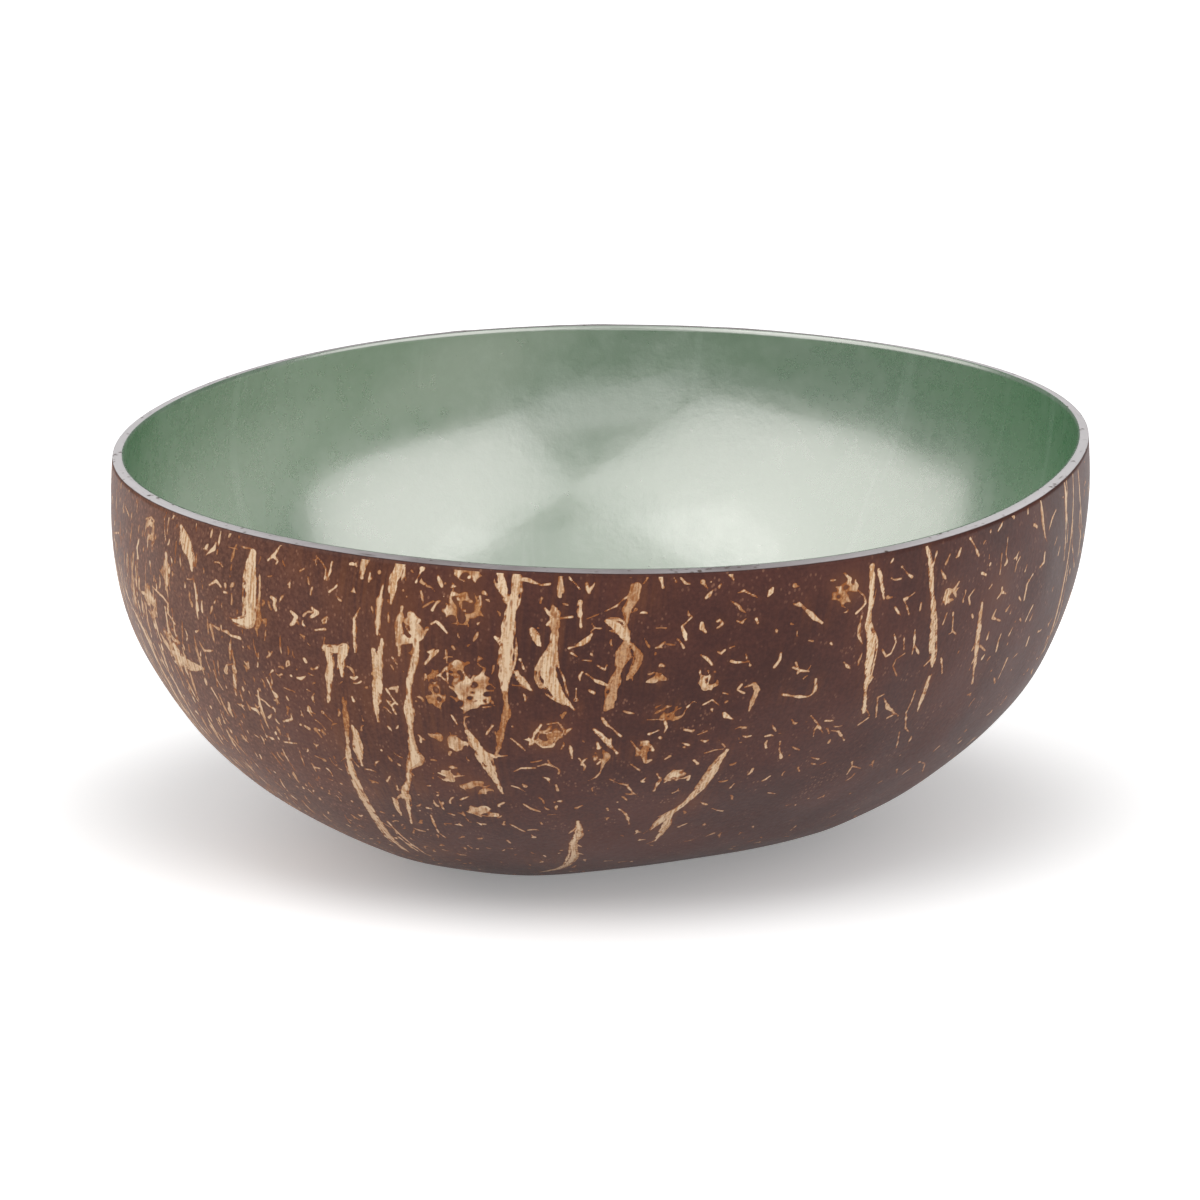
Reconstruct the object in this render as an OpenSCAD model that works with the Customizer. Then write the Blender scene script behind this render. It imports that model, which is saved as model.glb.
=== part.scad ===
// Bowl made from half a coconut shell. The nut's hard shell is cut level and its outside
// ground smooth, so that the pale fibres that run from the rim to the tip show as flush
// strands. Inside it has a grey ground coat, turned over the cut rim, and a green lacquer.
// The origin is the middle of the ground foot, +Z is up.

/* [Bowl] */
// Mean width across the belly, before the nut's lobes
bowl_w = 147.4; // [120:0.2:160]
// Height from the foot to the outer edge of the rim
bowl_h = 60; // [50:1:70]
// How far the belly, the widest line, lies below the rim
belly_drop = 4; // [1:0.5:10]
// How much of the nut's tip is ground away to make the foot
foot_cut = 2.5; // [1.5:0.1:3]
// Squareness of the side profile, where 2 is an ellipse
profile_power = 2.1; // [1.9:0.05:2.4]

/* [Nut shape] */
// How much the rim is oval
rim_oval = 2.45; // [0:0.05:5]
// Bearing of the oval's long axis
rim_oval_at = 72; // [0:1:180]
// How far the nut's three lobes stand out at the rim
rim_lobe = 0.75; // [0:0.05:3]
// Bearing of the first of the rim's lobes
rim_lobe_at = 55; // [0:1:120]
// How far the rim's four soft corners stand out
rim_corner = 0.9; // [0:0.05:2]
// Bearing of the first soft corner
rim_corner_at = 22.5; // [0:0.5:90]
// How much the sections near the tip are oval
tip_oval = 1.3; // [0:0.1:4]
// How far the three lobes stand out near the tip
tip_lobe = 3; // [0:0.1:4]
// Bearing of the first of the tip's lobes
tip_lobe_at = -3; // [-60:1:60]
// How far the foot's middle lies to the left of the rim's
tip_shift = 3.5; // [0:0.5:8]
// How far the axis bows to the left between them
tip_bow = 2.5; // [0:0.5:5]

/* [Wall and coats] */
// Mean thickness of the shell at its cut rim
rim_wall = 1.2; // [1.2:0.1:4]
// How much thicker the rim is at its front and back than at its sides
rim_wall_oval = 0.1; // [0:0.05:0.2]
// How much thicker the rim is at its front than at its back
rim_wall_lean = 0.1; // [0:0.05:0.2]
// Thickness of the shell at its tip, before the foot is ground
tip_wall = 4.8; // [4:0.1:7]
// Thickness of the grey ground coat
ground_t = 0.2; // [0.15:0.05:0.6]
// How far the ground coat's inner edge stands above its outer edge
rim_slope = 0.1; // [0:0.05:0.5]
// Thickness of the green lacquer
lacquer_t = 0.25; // [0.15:0.05:0.5]

/* [Fibres] */
// Depth of a fibre strand in the shell
strand_depth = 0.5; // [0.3:0.1:0.8]
// Width of an ordinary strand
strand_w = 1.4; // [0.8:0.1:1.8]
// Play between a strand and its groove
strand_play = 0.05; // [0.02:0.01:0.1]
// Strands on the half turned away from the viewer
back_strands = 16; // [4:1:20]

/* [Hidden] */

around = 60;                           // points in each ring of a skin
outer_rings = 16;
inner_rings = 14;
strand_steps = 6;                      // stretches along a strand
over = 1;                              // how far a groove's cutter stands out of the wall

belly_r = bowl_w / 2;
belly_z = bowl_h - belly_drop;
tip_depth = belly_z + foot_cut;        // from the belly to the unground tip
cut_z = bowl_h - ground_t;             // level of the sawn rim
lip_z = bowl_h + rim_slope;            // level of the coats' inner edge
fade_r = belly_r / 2;                  // lobes die away inside this radius

// Strands on the near half, from top to bottom: bearing and height of both ends, with heights
// as shares of the bowl's, sideways bow in degrees, and width as a share of an ordinary one
front_strands = [
    [200, 0.73, 209, 0.40,  2, 0.6], [211, 0.68, 219, 0.61,  1, 0.9], [216, 0.96, 219, 0.84,  0, 1.3],
    [228, 0.96, 227, 0.78,  1, 1.6], [239, 0.78, 239, 0.61,  0, 0.9], [242, 0.77, 242, 0.69,  0, 0.8],
    [240, 0.52, 242, 0.18, -1, 0.7], [248, 0.97, 247, 0.90,  0, 1.2], [246, 0.80, 245, 0.58,  0, 0.9],
    [250, 0.87, 245, 0.27,  2, 1.3], [260, 0.97, 260, 0.68,  0, 1.9], [264, 0.88, 268, 0.66, -2, 1.6],
    [257, 0.56, 259, 0.41,  0, 1.1], [273, 0.97, 272, 0.67, -1, 1.4], [270, 0.61, 273, 0.53,  0, 0.4],
    [268, 0.32, 264, 0.12,  1, 0.8], [286, 0.53, 280, 0.26,  1, 0.9], [291, 0.90, 294, 0.85,  0, 0.6],
    [299, 0.97, 304, 0.58, -1, 0.9], [306, 0.97, 312, 0.66,  1, 0.7], [312, 0.63, 313, 0.53,  0, 0.5],
    [318, 0.80, 323, 0.56,  0, 0.6], [331, 0.97, 333, 0.88,  0, 0.5], [344, 0.96, 348, 0.60, -1, 0.5]
];
// The others follow the same habit: spread evenly, at heights that never line up
back_from = 352;
back_to = 558;
golden = 0.618;
function part_of(i) = i * golden - floor(i * golden);
hidden_strands = [
    for (i = [0 : back_strands - 1])
        let (bearing = back_from + (back_to - back_from) * (i + 0.5) / back_strands,
             top = 0.45 + 0.48 * part_of(i),
             long = 0.16 + 0.2 * part_of(i + 3))
        [bearing, top, bearing + 2, top - long, part_of(i + 1), 0.6 + 0.7 * part_of(i + 2)]
];

// ---- The nut's outside, as a rule: a profile, swelled by lobes and leaning at the tip ----

function lobes_at(bearing, sunk) =
    (1 - sunk) * (rim_oval * cos(2 * (bearing - rim_oval_at))
                  + rim_lobe * cos(3 * (bearing - rim_lobe_at))
                  + rim_corner * cos(4 * (bearing - rim_corner_at)))
    + sunk * (tip_oval * cos(2 * bearing) + tip_lobe * cos(3 * (bearing - tip_lobe_at)));

function fade(r) = r < fade_r ? (r / fade_r) * (2 - r / fade_r) : 1;

function nut_point(bearing, r, z) =
    let (sunk = 1 - z / bowl_h,
         reach = r + fade(r) * lobes_at(bearing, sunk),
         middle = tip_shift * (1 - sunk) - tip_bow * sunk * (1 - sunk))
    [middle + reach * cos(bearing), reach * sin(bearing), z];

function signed_pow(v, p) = sign(v) * pow(abs(v), p);

// Profile angle at which a skin whose tip is raised by rise passes the height z
function angle_at(z, rise) =
    asin(signed_pow((belly_z - z) / (tip_depth - rise), profile_power / 2));

function skin_point(bearing, angle, inset, rise) =
    nut_point(bearing, (belly_r - inset) * pow(cos(angle), 2 / profile_power),
              belly_z - (tip_depth - rise) * signed_pow(sin(angle), 2 / profile_power));

// ---- Rings of points on each skin ----

function wall_at(bearing) =
    rim_wall - rim_wall_oval * cos(2 * bearing) - rim_wall_lean * sin(bearing);

function outer_ring(angle) =
    [for (i = [0 : around - 1]) skin_point(i * 360 / around, angle, 0, 0)];

function inner_ring(angle, coat) =
    [for (i = [0 : around - 1]) let (bearing = i * 360 / around)
        skin_point(bearing, angle, wall_at(bearing) + coat, tip_wall + coat)];

// The hollow's skin under a coat, from its top edge down to just above its lowest point
function hollow(coat, top) =
    let (start = angle_at(top, tip_wall + coat))
    [for (i = [0 : inner_rings - 1])
        inner_ring(start + (90 - start) * i / inner_rings, coat)];

function hollow_tip(coat) = skin_point(0, 90, 0, tip_wall + coat);

function outside(top) =
    let (low = angle_at(0, 0), high = angle_at(top, 0))
    [for (i = [0 : outer_rings]) outer_ring(low + (high - low) * i / outer_rings)];

function reversed(list) = [for (i = [len(list) - 1 : -1 : 0]) list[i]];

// ---- Solids from rings ----

// Each four-sided gap between rings is split from its upper left to its lower right corner,
// whichever way the rings run, so that two skins that share their rings meet face to face
function band_faces(rings) =
    let (n = len(rings[0]))
    [for (k = [0 : len(rings) - 2], i = [0 : n - 1], half = [0, 1])
        let (j = (i + 1) % n, a = k * n, b = (k + 1) * n, falls = rings[k][0].z > rings[k + 1][0].z)
        falls ? (half == 0 ? [a + i, b + i, b + j] : [a + i, b + j, a + j])
              : (half == 0 ? [a + i, b + i, a + j] : [a + j, b + i, b + j])];

// A skin of rings that closes on a flat end below and on a point above
module cup(rings, tip) {
    n = len(rings[0]);
    last = (len(rings) - 1) * n;
    polyhedron(
        points = [each [for (ring = rings) each ring], tip],
        faces = [each band_faces(rings),
                 [for (i = [0 : n - 1]) i],
                 for (i = [0 : n - 1]) [last + i, last + n, last + (i + 1) % n]]);
}

// A skin of rings that closes on a point at both ends
module lining(tip_below, rings, tip_above) {
    n = len(rings[0]);
    count = len(rings) * n;
    last = count - n;
    polyhedron(
        points = [each [for (ring = rings) each ring], tip_below, tip_above],
        faces = [each band_faces(rings),
                 for (i = [0 : n - 1]) [(i + 1) % n, count, i],
                 for (i = [0 : n - 1]) [last + i, count + 1, last + (i + 1) % n]]);
}

// ---- Fibre strands ----

function radius_at(z) =
    belly_r * pow(1 - pow(abs(belly_z - z) / tip_depth, profile_power), 1 / profile_power);

// Direction straight out of the wall
function out_of(bearing, z) =
    let (rise = radius_at(z) - radius_at(z - 1), v = [cos(bearing), sin(bearing), -rise])
    v / norm(v);

// Four corners of a strand's section: flush with the wall, or grown to cut its groove
function strand_section(s, along, grow, stand) =
    let (bearing = s[0] + (s[2] - s[0]) * along + s[4] * sin(180 * along),
         z = bowl_h * (s[1] + (s[3] - s[1]) * along),
         middle = nut_point(bearing, radius_at(z), z),
         out = out_of(bearing, z),
         side = [-sin(bearing), cos(bearing), 0],
         half = strand_w * s[5] * (0.2 + 0.3 * sin(180 * along)) + grow)
    [middle - side * half + out * stand,
     middle + side * half + out * stand,
     middle + side * half * 0.6 - out * (strand_depth + grow),
     middle - side * half * 0.6 - out * (strand_depth + grow)];

module strand(s, grow, stand) {
    tail = grow / bowl_h / (s[1] - s[3]);  // share of the length that the cutter adds at each end
    rings = [for (i = [0 : strand_steps])
        strand_section(s, i / strand_steps * (1 + 2 * tail) - tail, grow, stand)];
    n = 4;
    last = strand_steps * n;
    polyhedron(
        points = [for (ring = rings) each ring],
        faces = [each [for (f = band_faces(rings)) reversed(f)],
                 [3, 2, 1, 0], [last, last + 1, last + 2, last + 3]]);
}

module each_strand(grow, stand) {
    for (s = concat(front_strands, hidden_strands)) strand(s, grow, stand);
}

// ---- The pieces ----

module shell() {
    color("#5c3b32") difference() {
        cup([each outside(cut_z), each hollow(0, cut_z)], hollow_tip(0));
        each_strand(strand_play, over);
    }
}

module ground_coat() {
    color("#aaa49c")
        lining(hollow_tip(0),
               [each reversed(hollow(0, cut_z)),
                outer_ring(angle_at(cut_z, 0)),
                outer_ring(angle_at(bowl_h, 0)),
                each hollow(ground_t, lip_z)],
               hollow_tip(ground_t));
}

module lacquer_lining() {
    color("#7f9c7c")
        lining(hollow_tip(ground_t),
               [each reversed(hollow(ground_t, lip_z)),
                each hollow(ground_t + lacquer_t, lip_z)],
               hollow_tip(ground_t + lacquer_t));
}

module fibre_strands() {
    color("#c9a27c") each_strand(0, 0);
}

shell();
ground_coat();
lacquer_lining();
fibre_strands();
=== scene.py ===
import bpy
import math
import random
import numpy as np
from itertools import chain
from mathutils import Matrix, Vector
from mathutils.bvhtree import BVHTree


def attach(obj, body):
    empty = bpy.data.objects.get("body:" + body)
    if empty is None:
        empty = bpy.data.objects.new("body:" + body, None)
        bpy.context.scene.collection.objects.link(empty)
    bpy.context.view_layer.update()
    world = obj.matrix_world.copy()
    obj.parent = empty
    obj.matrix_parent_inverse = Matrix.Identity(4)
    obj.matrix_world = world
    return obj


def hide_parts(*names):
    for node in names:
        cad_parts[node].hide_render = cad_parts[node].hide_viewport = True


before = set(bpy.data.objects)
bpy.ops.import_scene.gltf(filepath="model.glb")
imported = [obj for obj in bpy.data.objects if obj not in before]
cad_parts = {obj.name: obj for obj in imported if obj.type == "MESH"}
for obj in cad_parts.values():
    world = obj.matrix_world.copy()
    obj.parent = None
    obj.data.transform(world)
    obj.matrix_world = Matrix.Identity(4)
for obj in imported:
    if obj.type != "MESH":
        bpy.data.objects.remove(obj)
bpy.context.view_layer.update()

mm = 0.001


# the half nut: the same shape as in the solid model, in metres and degrees
nut = {
    "bellyRadius": 0.0737, "height": 0.060, "bellyDrop": 0.004, "footCut": 0.0025, "profilePower": 2.1,
    "rimOval": 0.00245, "rimOvalAt": 72, "rimLobe": 0.00075, "rimLobeAt": 55,
    "rimCorner": 0.0009, "rimCornerAt": 22.5,
    "tipOval": 0.0013, "tipLobe": 0.003, "tipLobeAt": -3, "tipShift": 0.0035, "tipBow": 0.0025,
    "wall": 0.0012, "wallOval": 0.0001, "wallLean": 0.0001, "tipWall": 0.0048,
    "ground": 0.0002, "rimSlope": 0.0001, "lacquer": 0.00025,
    "calmBand": 0.006,   # at foot and rim, where the hand-ground unevenness fades
    "thinAt": (68, 80, 85.5),   # past each of these a ring of the hollow has half the points
}
bellyHeight = nut["height"] - nut["bellyDrop"]
tipDepth = bellyHeight + nut["footCut"]
cutHeight = nut["height"] - nut["ground"]
lipHeight = nut["height"] + nut["rimSlope"]
tinyTurn = 1e-4   # radians, to measure slopes and lengths on a skin with


def swell(bearing, count, start):
    return np.cos(count * (bearing - math.radians(start)))


def lobesAt(bearing, sunk):
    rim = nut["rimOval"] * swell(bearing, 2, nut["rimOvalAt"])
    rim = rim + nut["rimLobe"] * swell(bearing, 3, nut["rimLobeAt"])
    rim = rim + nut["rimCorner"] * swell(bearing, 4, nut["rimCornerAt"])
    tip = nut["tipOval"] * swell(bearing, 2, 0) + nut["tipLobe"] * swell(bearing, 3, nut["tipLobeAt"])
    return (1 - sunk) * rim + sunk * tip


def middleAt(height):
    # how far the nut's own axis stands to the right of the frame's at this height
    sunk = 1 - height / nut["height"]
    return nut["tipShift"] * (1 - sunk) - nut["tipBow"] * sunk * (1 - sunk)


def skinPoint(bearing, angle, inset=0.0, rise=0.0):
    # bearing goes round the nut, angle down its profile from belly (0) to tip (90), both in radians
    power = 2 / nut["profilePower"]
    radius = (nut["bellyRadius"] - inset) * np.abs(np.cos(angle)) ** power
    height = bellyHeight - (tipDepth - rise) * np.sign(angle) * np.abs(np.sin(angle)) ** power
    share = np.minimum(1, radius / (nut["bellyRadius"] / 2))
    reach = radius + share * (2 - share) * lobesAt(bearing, 1 - height / nut["height"])
    return np.stack([middleAt(height) + reach * np.cos(bearing), reach * np.sin(bearing), height], -1)


def angleAt(height, rise=0.0):
    # the profile angle at which a skin has this height; rise is how far its tip is raised
    part = (bellyHeight - height) / (tipDepth - rise)
    return np.sign(part) * np.arcsin(np.minimum(1, np.abs(part)) ** (nut["profilePower"] / 2))


def wallAt(bearing):
    return nut["wall"] - nut["wallOval"] * np.cos(2 * bearing) - nut["wallLean"] * np.sin(bearing)


def hollowSkin(coat):
    # the skin of the hollow under a coat of this thickness, as a rule for its points
    return lambda bearing, angle: skinPoint(bearing, angle, wallAt(bearing) + coat, nut["tipWall"] + coat)


def outOf(skin, bearing, angle):
    # the direction straight out of a skin
    base = skin(bearing, angle)
    out = np.cross(skin(bearing, angle + tinyTurn) - base, skin(bearing + tinyTurn, angle) - base)
    return out / np.linalg.norm(out, axis=-1, keepdims=True)


def spans(bearing, angle):
    # metres per radian at a place, round the wall and down it
    base = skinPoint(bearing, angle)
    around = np.linalg.norm(skinPoint(bearing + tinyTurn, angle) - base, axis=-1) / tinyTurn
    down = np.linalg.norm(skinPoint(bearing, angle + tinyTurn) - base, axis=-1) / tinyTurn
    return around, down


class Ripple:
    # a smooth, seeded unevenness in space: a sum of waves in random directions, the longest the strongest
    waveCount, fallOff, sumLevel = 14, 0.7, 2.2

    def __init__(self, seed, depth, longest, shortest):
        pick, last = random.Random(seed), self.waveCount - 1
        lengths = [longest * (shortest / longest) ** (i / last) for i in range(self.waveCount)]
        self.depth, self.waves = depth, []
        for length in lengths:
            way = Vector([pick.gauss(0, 1) for _ in range(3)]).normalized() * (2 * math.pi / length)
            size = depth * (length / longest) ** self.fallOff
            self.waves.append((np.array(way), pick.uniform(0, 2 * math.pi), size))

    def at(self, points):
        return sum(size * np.sin(points @ way + phase) for way, phase, size in self.waves) / self.sumLevel


handGround = Ripple(seed=3, depth=0.00022, longest=0.055, shortest=0.011)   # the outside was ground by hand


def outsidePoint(bearing, angle, lift=0.0):
    # a point on the ground outside, with its unevenness; lift is how far it stands out of it
    base = skinPoint(bearing, angle)
    height = base[..., 2]
    calm = np.clip(np.minimum(height, nut["height"] - height) / nut["calmBand"], 0, 1)
    return base + outOf(skinPoint, bearing, angle) * (handGround.at(base) * calm + lift)[..., None]


def bearingOf(points):
    return np.arctan2(points[:, 1], points[:, 0] - middleAt(points[:, 2]))


def wallPlace(points):
    # bearing and profile angle of points on the outside
    return bearingOf(points), angleAt(points[:, 2])


def grainOf(points):
    # where a point lies in the nut's grain: round it, and along it from rim to tip
    bearing, radius = bearingOf(points), nut["bellyRadius"]
    along = np.arctan2(bellyHeight - points[:, 2], np.hypot(points[:, 1], points[:, 0])) * radius
    return np.stack([np.cos(bearing) * radius, np.sin(bearing) * radius, along], -1)


def added(name, data):
    # a new object with this mesh, camera or lamp, in the scene
    thing = bpy.data.objects.new(name, data)
    bpy.context.scene.collection.objects.link(thing)
    return thing


def makePiece(name, points, faces, finish):
    mesh = bpy.data.meshes.new(name)
    mesh.from_pydata(np.asarray(points).tolist(), [], faces)
    mesh.update()
    mesh.shade_smooth()
    mesh.materials.append(finish)
    piece = added(name, mesh)
    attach(piece, "root")
    return piece


def store(piece, name, kind, values):
    # keeps a value for each point of a piece, for its finish to read
    layer = piece.data.attributes.new(name, kind, "POINT")
    field = "vector" if kind == "FLOAT_VECTOR" else "value"
    layer.data.foreach_set(field, np.asarray(values, dtype=float).ravel())


def joinRings(rings, tip=None, start=None):
    # rings of equal or halved counts become one skin; tip and start close its ends on a point
    points, faces, first = [], [], []
    for ring in rings:
        first.append(len(points))
        points.extend(ring)
    for k in range(len(rings) - 1):
        a, b, n, m = first[k], first[k + 1], len(rings[k]), len(rings[k + 1])
        if n == m:
            faces += [(a + i, b + i, b + (i + 1) % n, a + (i + 1) % n) for i in range(n)]
        elif n == 2 * m:
            for i in range(m):
                j = (i + 1) % m
                faces.append((a + 2 * i, b + i, a + 2 * i + 1))
                faces.append((a + 2 * i + 1, b + i, b + j, a + (2 * i + 2) % n))
        else:
            for i in range(n):
                j = (i + 1) % n
                faces.append((a + i, b + 2 * i, b + 2 * i + 1))
                faces.append((a + i, b + 2 * i + 1, b + (2 * i + 2) % m, a + j))
    for point, base, ring, turn in ((start, first[0], rings[0], 1), (tip, first[-1], rings[-1], -1)):
        if point is not None:
            n = len(ring)
            points.append(point)
            faces += [tuple([len(points) - 1, base + i, base + (i + 1) % n][::turn]) for i in range(n)]
    return points, faces


def bearings(count):
    return np.arange(count) * 2 * math.pi / count


def thinned(count, angle):
    # fewer points to a ring as the rings shrink towards the tip
    for limit in nut["thinAt"]:
        if math.degrees(angle) > limit:
            count //= 2
    return count


def hollowRings(coat, top, around, steps, ripple=None):
    # rings of the hollow's skin under a coat, from this height down to just before its tip; a ripple
    # only makes the coat thicker, and starts a few rings below the lip
    skin, calmRings = hollowSkin(coat), 5
    start = angleAt(top, nut["tipWall"] + coat)
    rings = []
    for k in range(steps):
        angle = start + (math.pi / 2 - start) * k / steps
        bearing = bearings(thinned(around, angle))
        ring = skin(bearing, np.full_like(bearing, angle))
        if ripple:
            thicker = np.maximum(0, ripple.depth * 0.8 + ripple.at(ring)) * min(1, k / calmRings)
            ring = ring - outOf(skin, bearing, np.full_like(bearing, angle)) * thicker[:, None]
        rings.append(ring)
    return rings


def hollowTip(coat):
    return skinPoint(0.0, math.pi / 2, 0, nut["tipWall"] + coat)


class Link:
    # a shader socket that takes part in plain arithmetic
    def __init__(self, finish, socket):
        self.finish, self.socket = finish, socket

    def calc(self, operation, first, second):
        return self.finish.node("ShaderNodeMath", {"operation": operation}, {0: first, 1: second})

    def __add__(self, other):
        return self.calc("ADD", self, other)

    def __radd__(self, other):
        return self.calc("ADD", other, self)

    def __sub__(self, other):
        return self.calc("SUBTRACT", self, other)

    def __rsub__(self, other):
        return self.calc("SUBTRACT", other, self)

    def __mul__(self, other):
        return self.calc("MULTIPLY", self, other)

    def __rmul__(self, other):
        return self.calc("MULTIPLY", other, self)

    def __abs__(self):
        return self.calc("ABSOLUTE", self, 0)


class Finish:
    # one material and its nodes
    def __init__(self, name):
        self.material = bpy.data.materials.new(name)
        self.material.use_nodes = True
        self.tree = self.material.node_tree
        self.surface = self.tree.nodes["Principled BSDF"]

    def node(self, kind, settings=None, sockets=None, output=0):
        made = self.tree.nodes.new(kind)
        for key, value in (settings or {}).items():
            setattr(made, key, value)
        self.feed(made, sockets or {})
        return Link(self, made.outputs[output])

    def feed(self, node, sockets):
        for key, value in sockets.items():
            if isinstance(value, Link):
                self.tree.links.new(value.socket, node.inputs[key])
            elif isinstance(value, tuple) and node.inputs[key].type == "RGBA":
                node.inputs[key].default_value = (*value, 1)
            else:
                node.inputs[key].default_value = value

    def shine(self, **sockets):
        # sockets of the surface shader, named in camelCase
        names = {"baseColour": "Base Color", "roughness": "Roughness", "normal": "Normal", "index": "IOR",
                 "level": "Specular IOR Level", "tint": "Specular Tint", "coat": "Coat Weight",
                 "coatRoughness": "Coat Roughness", "coatIndex": "Coat IOR",
                 "glow": "Emission Color", "glowStrength": "Emission Strength"}
        self.feed(self.surface, {names[key]: value for key, value in sockets.items()})
        return self.material

    def attribute(self, name, output=2):
        return self.node("ShaderNodeAttribute", {"attribute_name": name}, {}, output)

    def mix(self, factor, first, second):
        # numbers, since the node's sockets for colours, 6 and 7, share their names with others
        return self.node("ShaderNodeMix", {"data_type": "RGBA"}, {0: factor, 6: first, 7: second}, 2)

    def noise(self, place, scale, detail=3.0, rough=0.55):
        return self.node("ShaderNodeTexNoise", {}, {"Vector": place, "Scale": scale, "Detail": detail,
                                                    "Roughness": rough})

    def spots(self, place, scale, low, high):
        # 1 in the middle of scattered spots, 0 between them
        cells = self.node("ShaderNodeTexVoronoi", {}, {"Vector": place, "Scale": scale})
        return 1 - self.between(cells, low, high)

    def stretch(self, place, by):
        return self.node("ShaderNodeVectorMath", {"operation": "MULTIPLY"}, {0: place, 1: by})

    def turned(self, place, turn, by):
        return self.node("ShaderNodeMapping", {}, {"Vector": place, "Rotation": turn, "Scale": by})

    def between(self, value, low, high):
        # 0 below low, 1 above high, smooth between
        return self.node("ShaderNodeMapRange", {"interpolation_type": "SMOOTHSTEP"},
                         {"Value": value, "From Min": low, "From Max": high})

    def bump(self, height, strength, distance):
        return self.node("ShaderNodeBump", {}, {"Height": height, "Strength": strength, "Distance": distance})

    def place(self):
        return self.node("ShaderNodeTexCoord", {}, {}, "Object")

    def part(self, axis):
        # how far along X, Y or Z of the shared frame a place lies
        return self.node("ShaderNodeSeparateXYZ", {}, {0: self.place()}, axis)


def linear(level):
    # the light that a screen's level from 0 to 255 stands for, 0 to 1
    return (level / 255 / 12.92) if level < 10.3 else ((level / 255 + 0.055) / 1.055) ** 2.4


def colour(red, green, blue):
    # a colour given as it shows on a screen
    return linear(red), linear(green), linear(blue)


class WallMap:
    # the shell's outside unrolled to a grid of places, in mm, to draw marks and stains on
    def __init__(self, around, down):
        self.around, self.down = around, down
        self.top, self.foot = angleAt(cutHeight), angleAt(0.0)
        angles = np.linspace(self.top, self.foot, down)
        angle, bearing = np.meshgrid(angles, bearings(around), indexing="ij")
        self.place = outsidePoint(bearing, angle) / mm
        self.rowStep = np.linalg.norm(self.place[1:, 0] - self.place[:-1, 0], axis=-1).min()
        self.columnStep = np.linalg.norm(self.place[:, 1:] - self.place[:, :-1], axis=-1).min(axis=1)

    def cell(self, bearing, angle):
        # row and column of a place, with their fractions
        row = (angle - self.top) / (self.foot - self.top) * (self.down - 1)
        return np.stack([row, bearing / (2 * math.pi) * self.around], -1)

    def near(self, start, end, reach):
        # the part of the grid within reach, in mm, of the stretch between two cells
        rows = reach / self.rowStep
        first = max(0, math.floor(min(start[0], end[0]) - rows))
        last = min(self.down, math.ceil(max(start[0], end[0]) + rows) + 1)
        if first >= last:
            return None
        columns = reach / self.columnStep[first:last].min()
        left = math.floor(min(start[1], end[1]) - columns)
        right = math.ceil(max(start[1], end[1]) + columns) + 1
        return np.ix_(np.arange(first, last), np.arange(left, right) % self.around)


class StainMap(WallMap):
    # soft stains: how strongly each place is soaked, 0 to 1
    def __init__(self, around, down):
        super().__init__(around, down)
        self.layers = {name: np.zeros((down, around)) for name in ("halo", "stain")}

    def soak(self, name, path, reach, strength):
        # path holds (bearing, angle) in radians, reach is in mm
        layer = self.layers[name]
        cells, places = self.cell(path[:, 0], path[:, 1]), outsidePoint(path[:, 0], path[:, 1]) / mm
        for cell, place in zip(cells, places):
            area = self.near(cell, cell, 2 * reach)
            if area:
                away = np.linalg.norm(self.place[area] - place, axis=-1)
                layer[area] = np.maximum(layer[area], strength * np.exp(-(away / reach) ** 2))

    def sample(self, name, bearing, angle):
        layer, cells = self.layers[name], self.cell(bearing, angle)
        row = np.clip(cells[..., 0], 0, self.down - 1.001)   # always with a row below it
        i, j = np.floor(row).astype(int), np.floor(cells[..., 1]).astype(int)
        u, v = row - i, cells[..., 1] - j
        left, right = j % self.around, (j + 1) % self.around
        upper = layer[i, left] * (1 - v) + layer[i, right] * v
        lower = layer[i + 1, left] * (1 - v) + layer[i + 1, right] * v
        return upper * (1 - u) + lower * u


shellLook = {
    "dark": colour(61, 31, 28), "warm": colour(80, 43, 37), "stain": colour(124, 74, 42),
    "halo": colour(104, 58, 36), "dustAndSheen": colour(178, 126, 98), "roughness": 0.46, "level": 0.2,
    "around": 600, "down": 122, "insideSteps": 20,   # rings and points of the mesh
    "dustAndSheenAt": 207, "dustAndSheenWide": 30,   # the flank with fibre dust and painted sheen, in degrees round the nut
    "stained": 0.9, "haloed": 0.8, "specked": 0.4, "dustAndSheenShare": 0.16, "dustAndSheenGrain": 0.2,   # shares of each colour
    "bump": 0.22, "bumpDepth": 0.0002,
}
# rings that fill the foot: how far out each lies, and how many of the wall's points make one of its own
footRings = ((0.95, 1), (0.85, 1), (0.7, 2), (0.55, 2), (0.4, 4), (0.22, 4), (0.1, 8))


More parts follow.
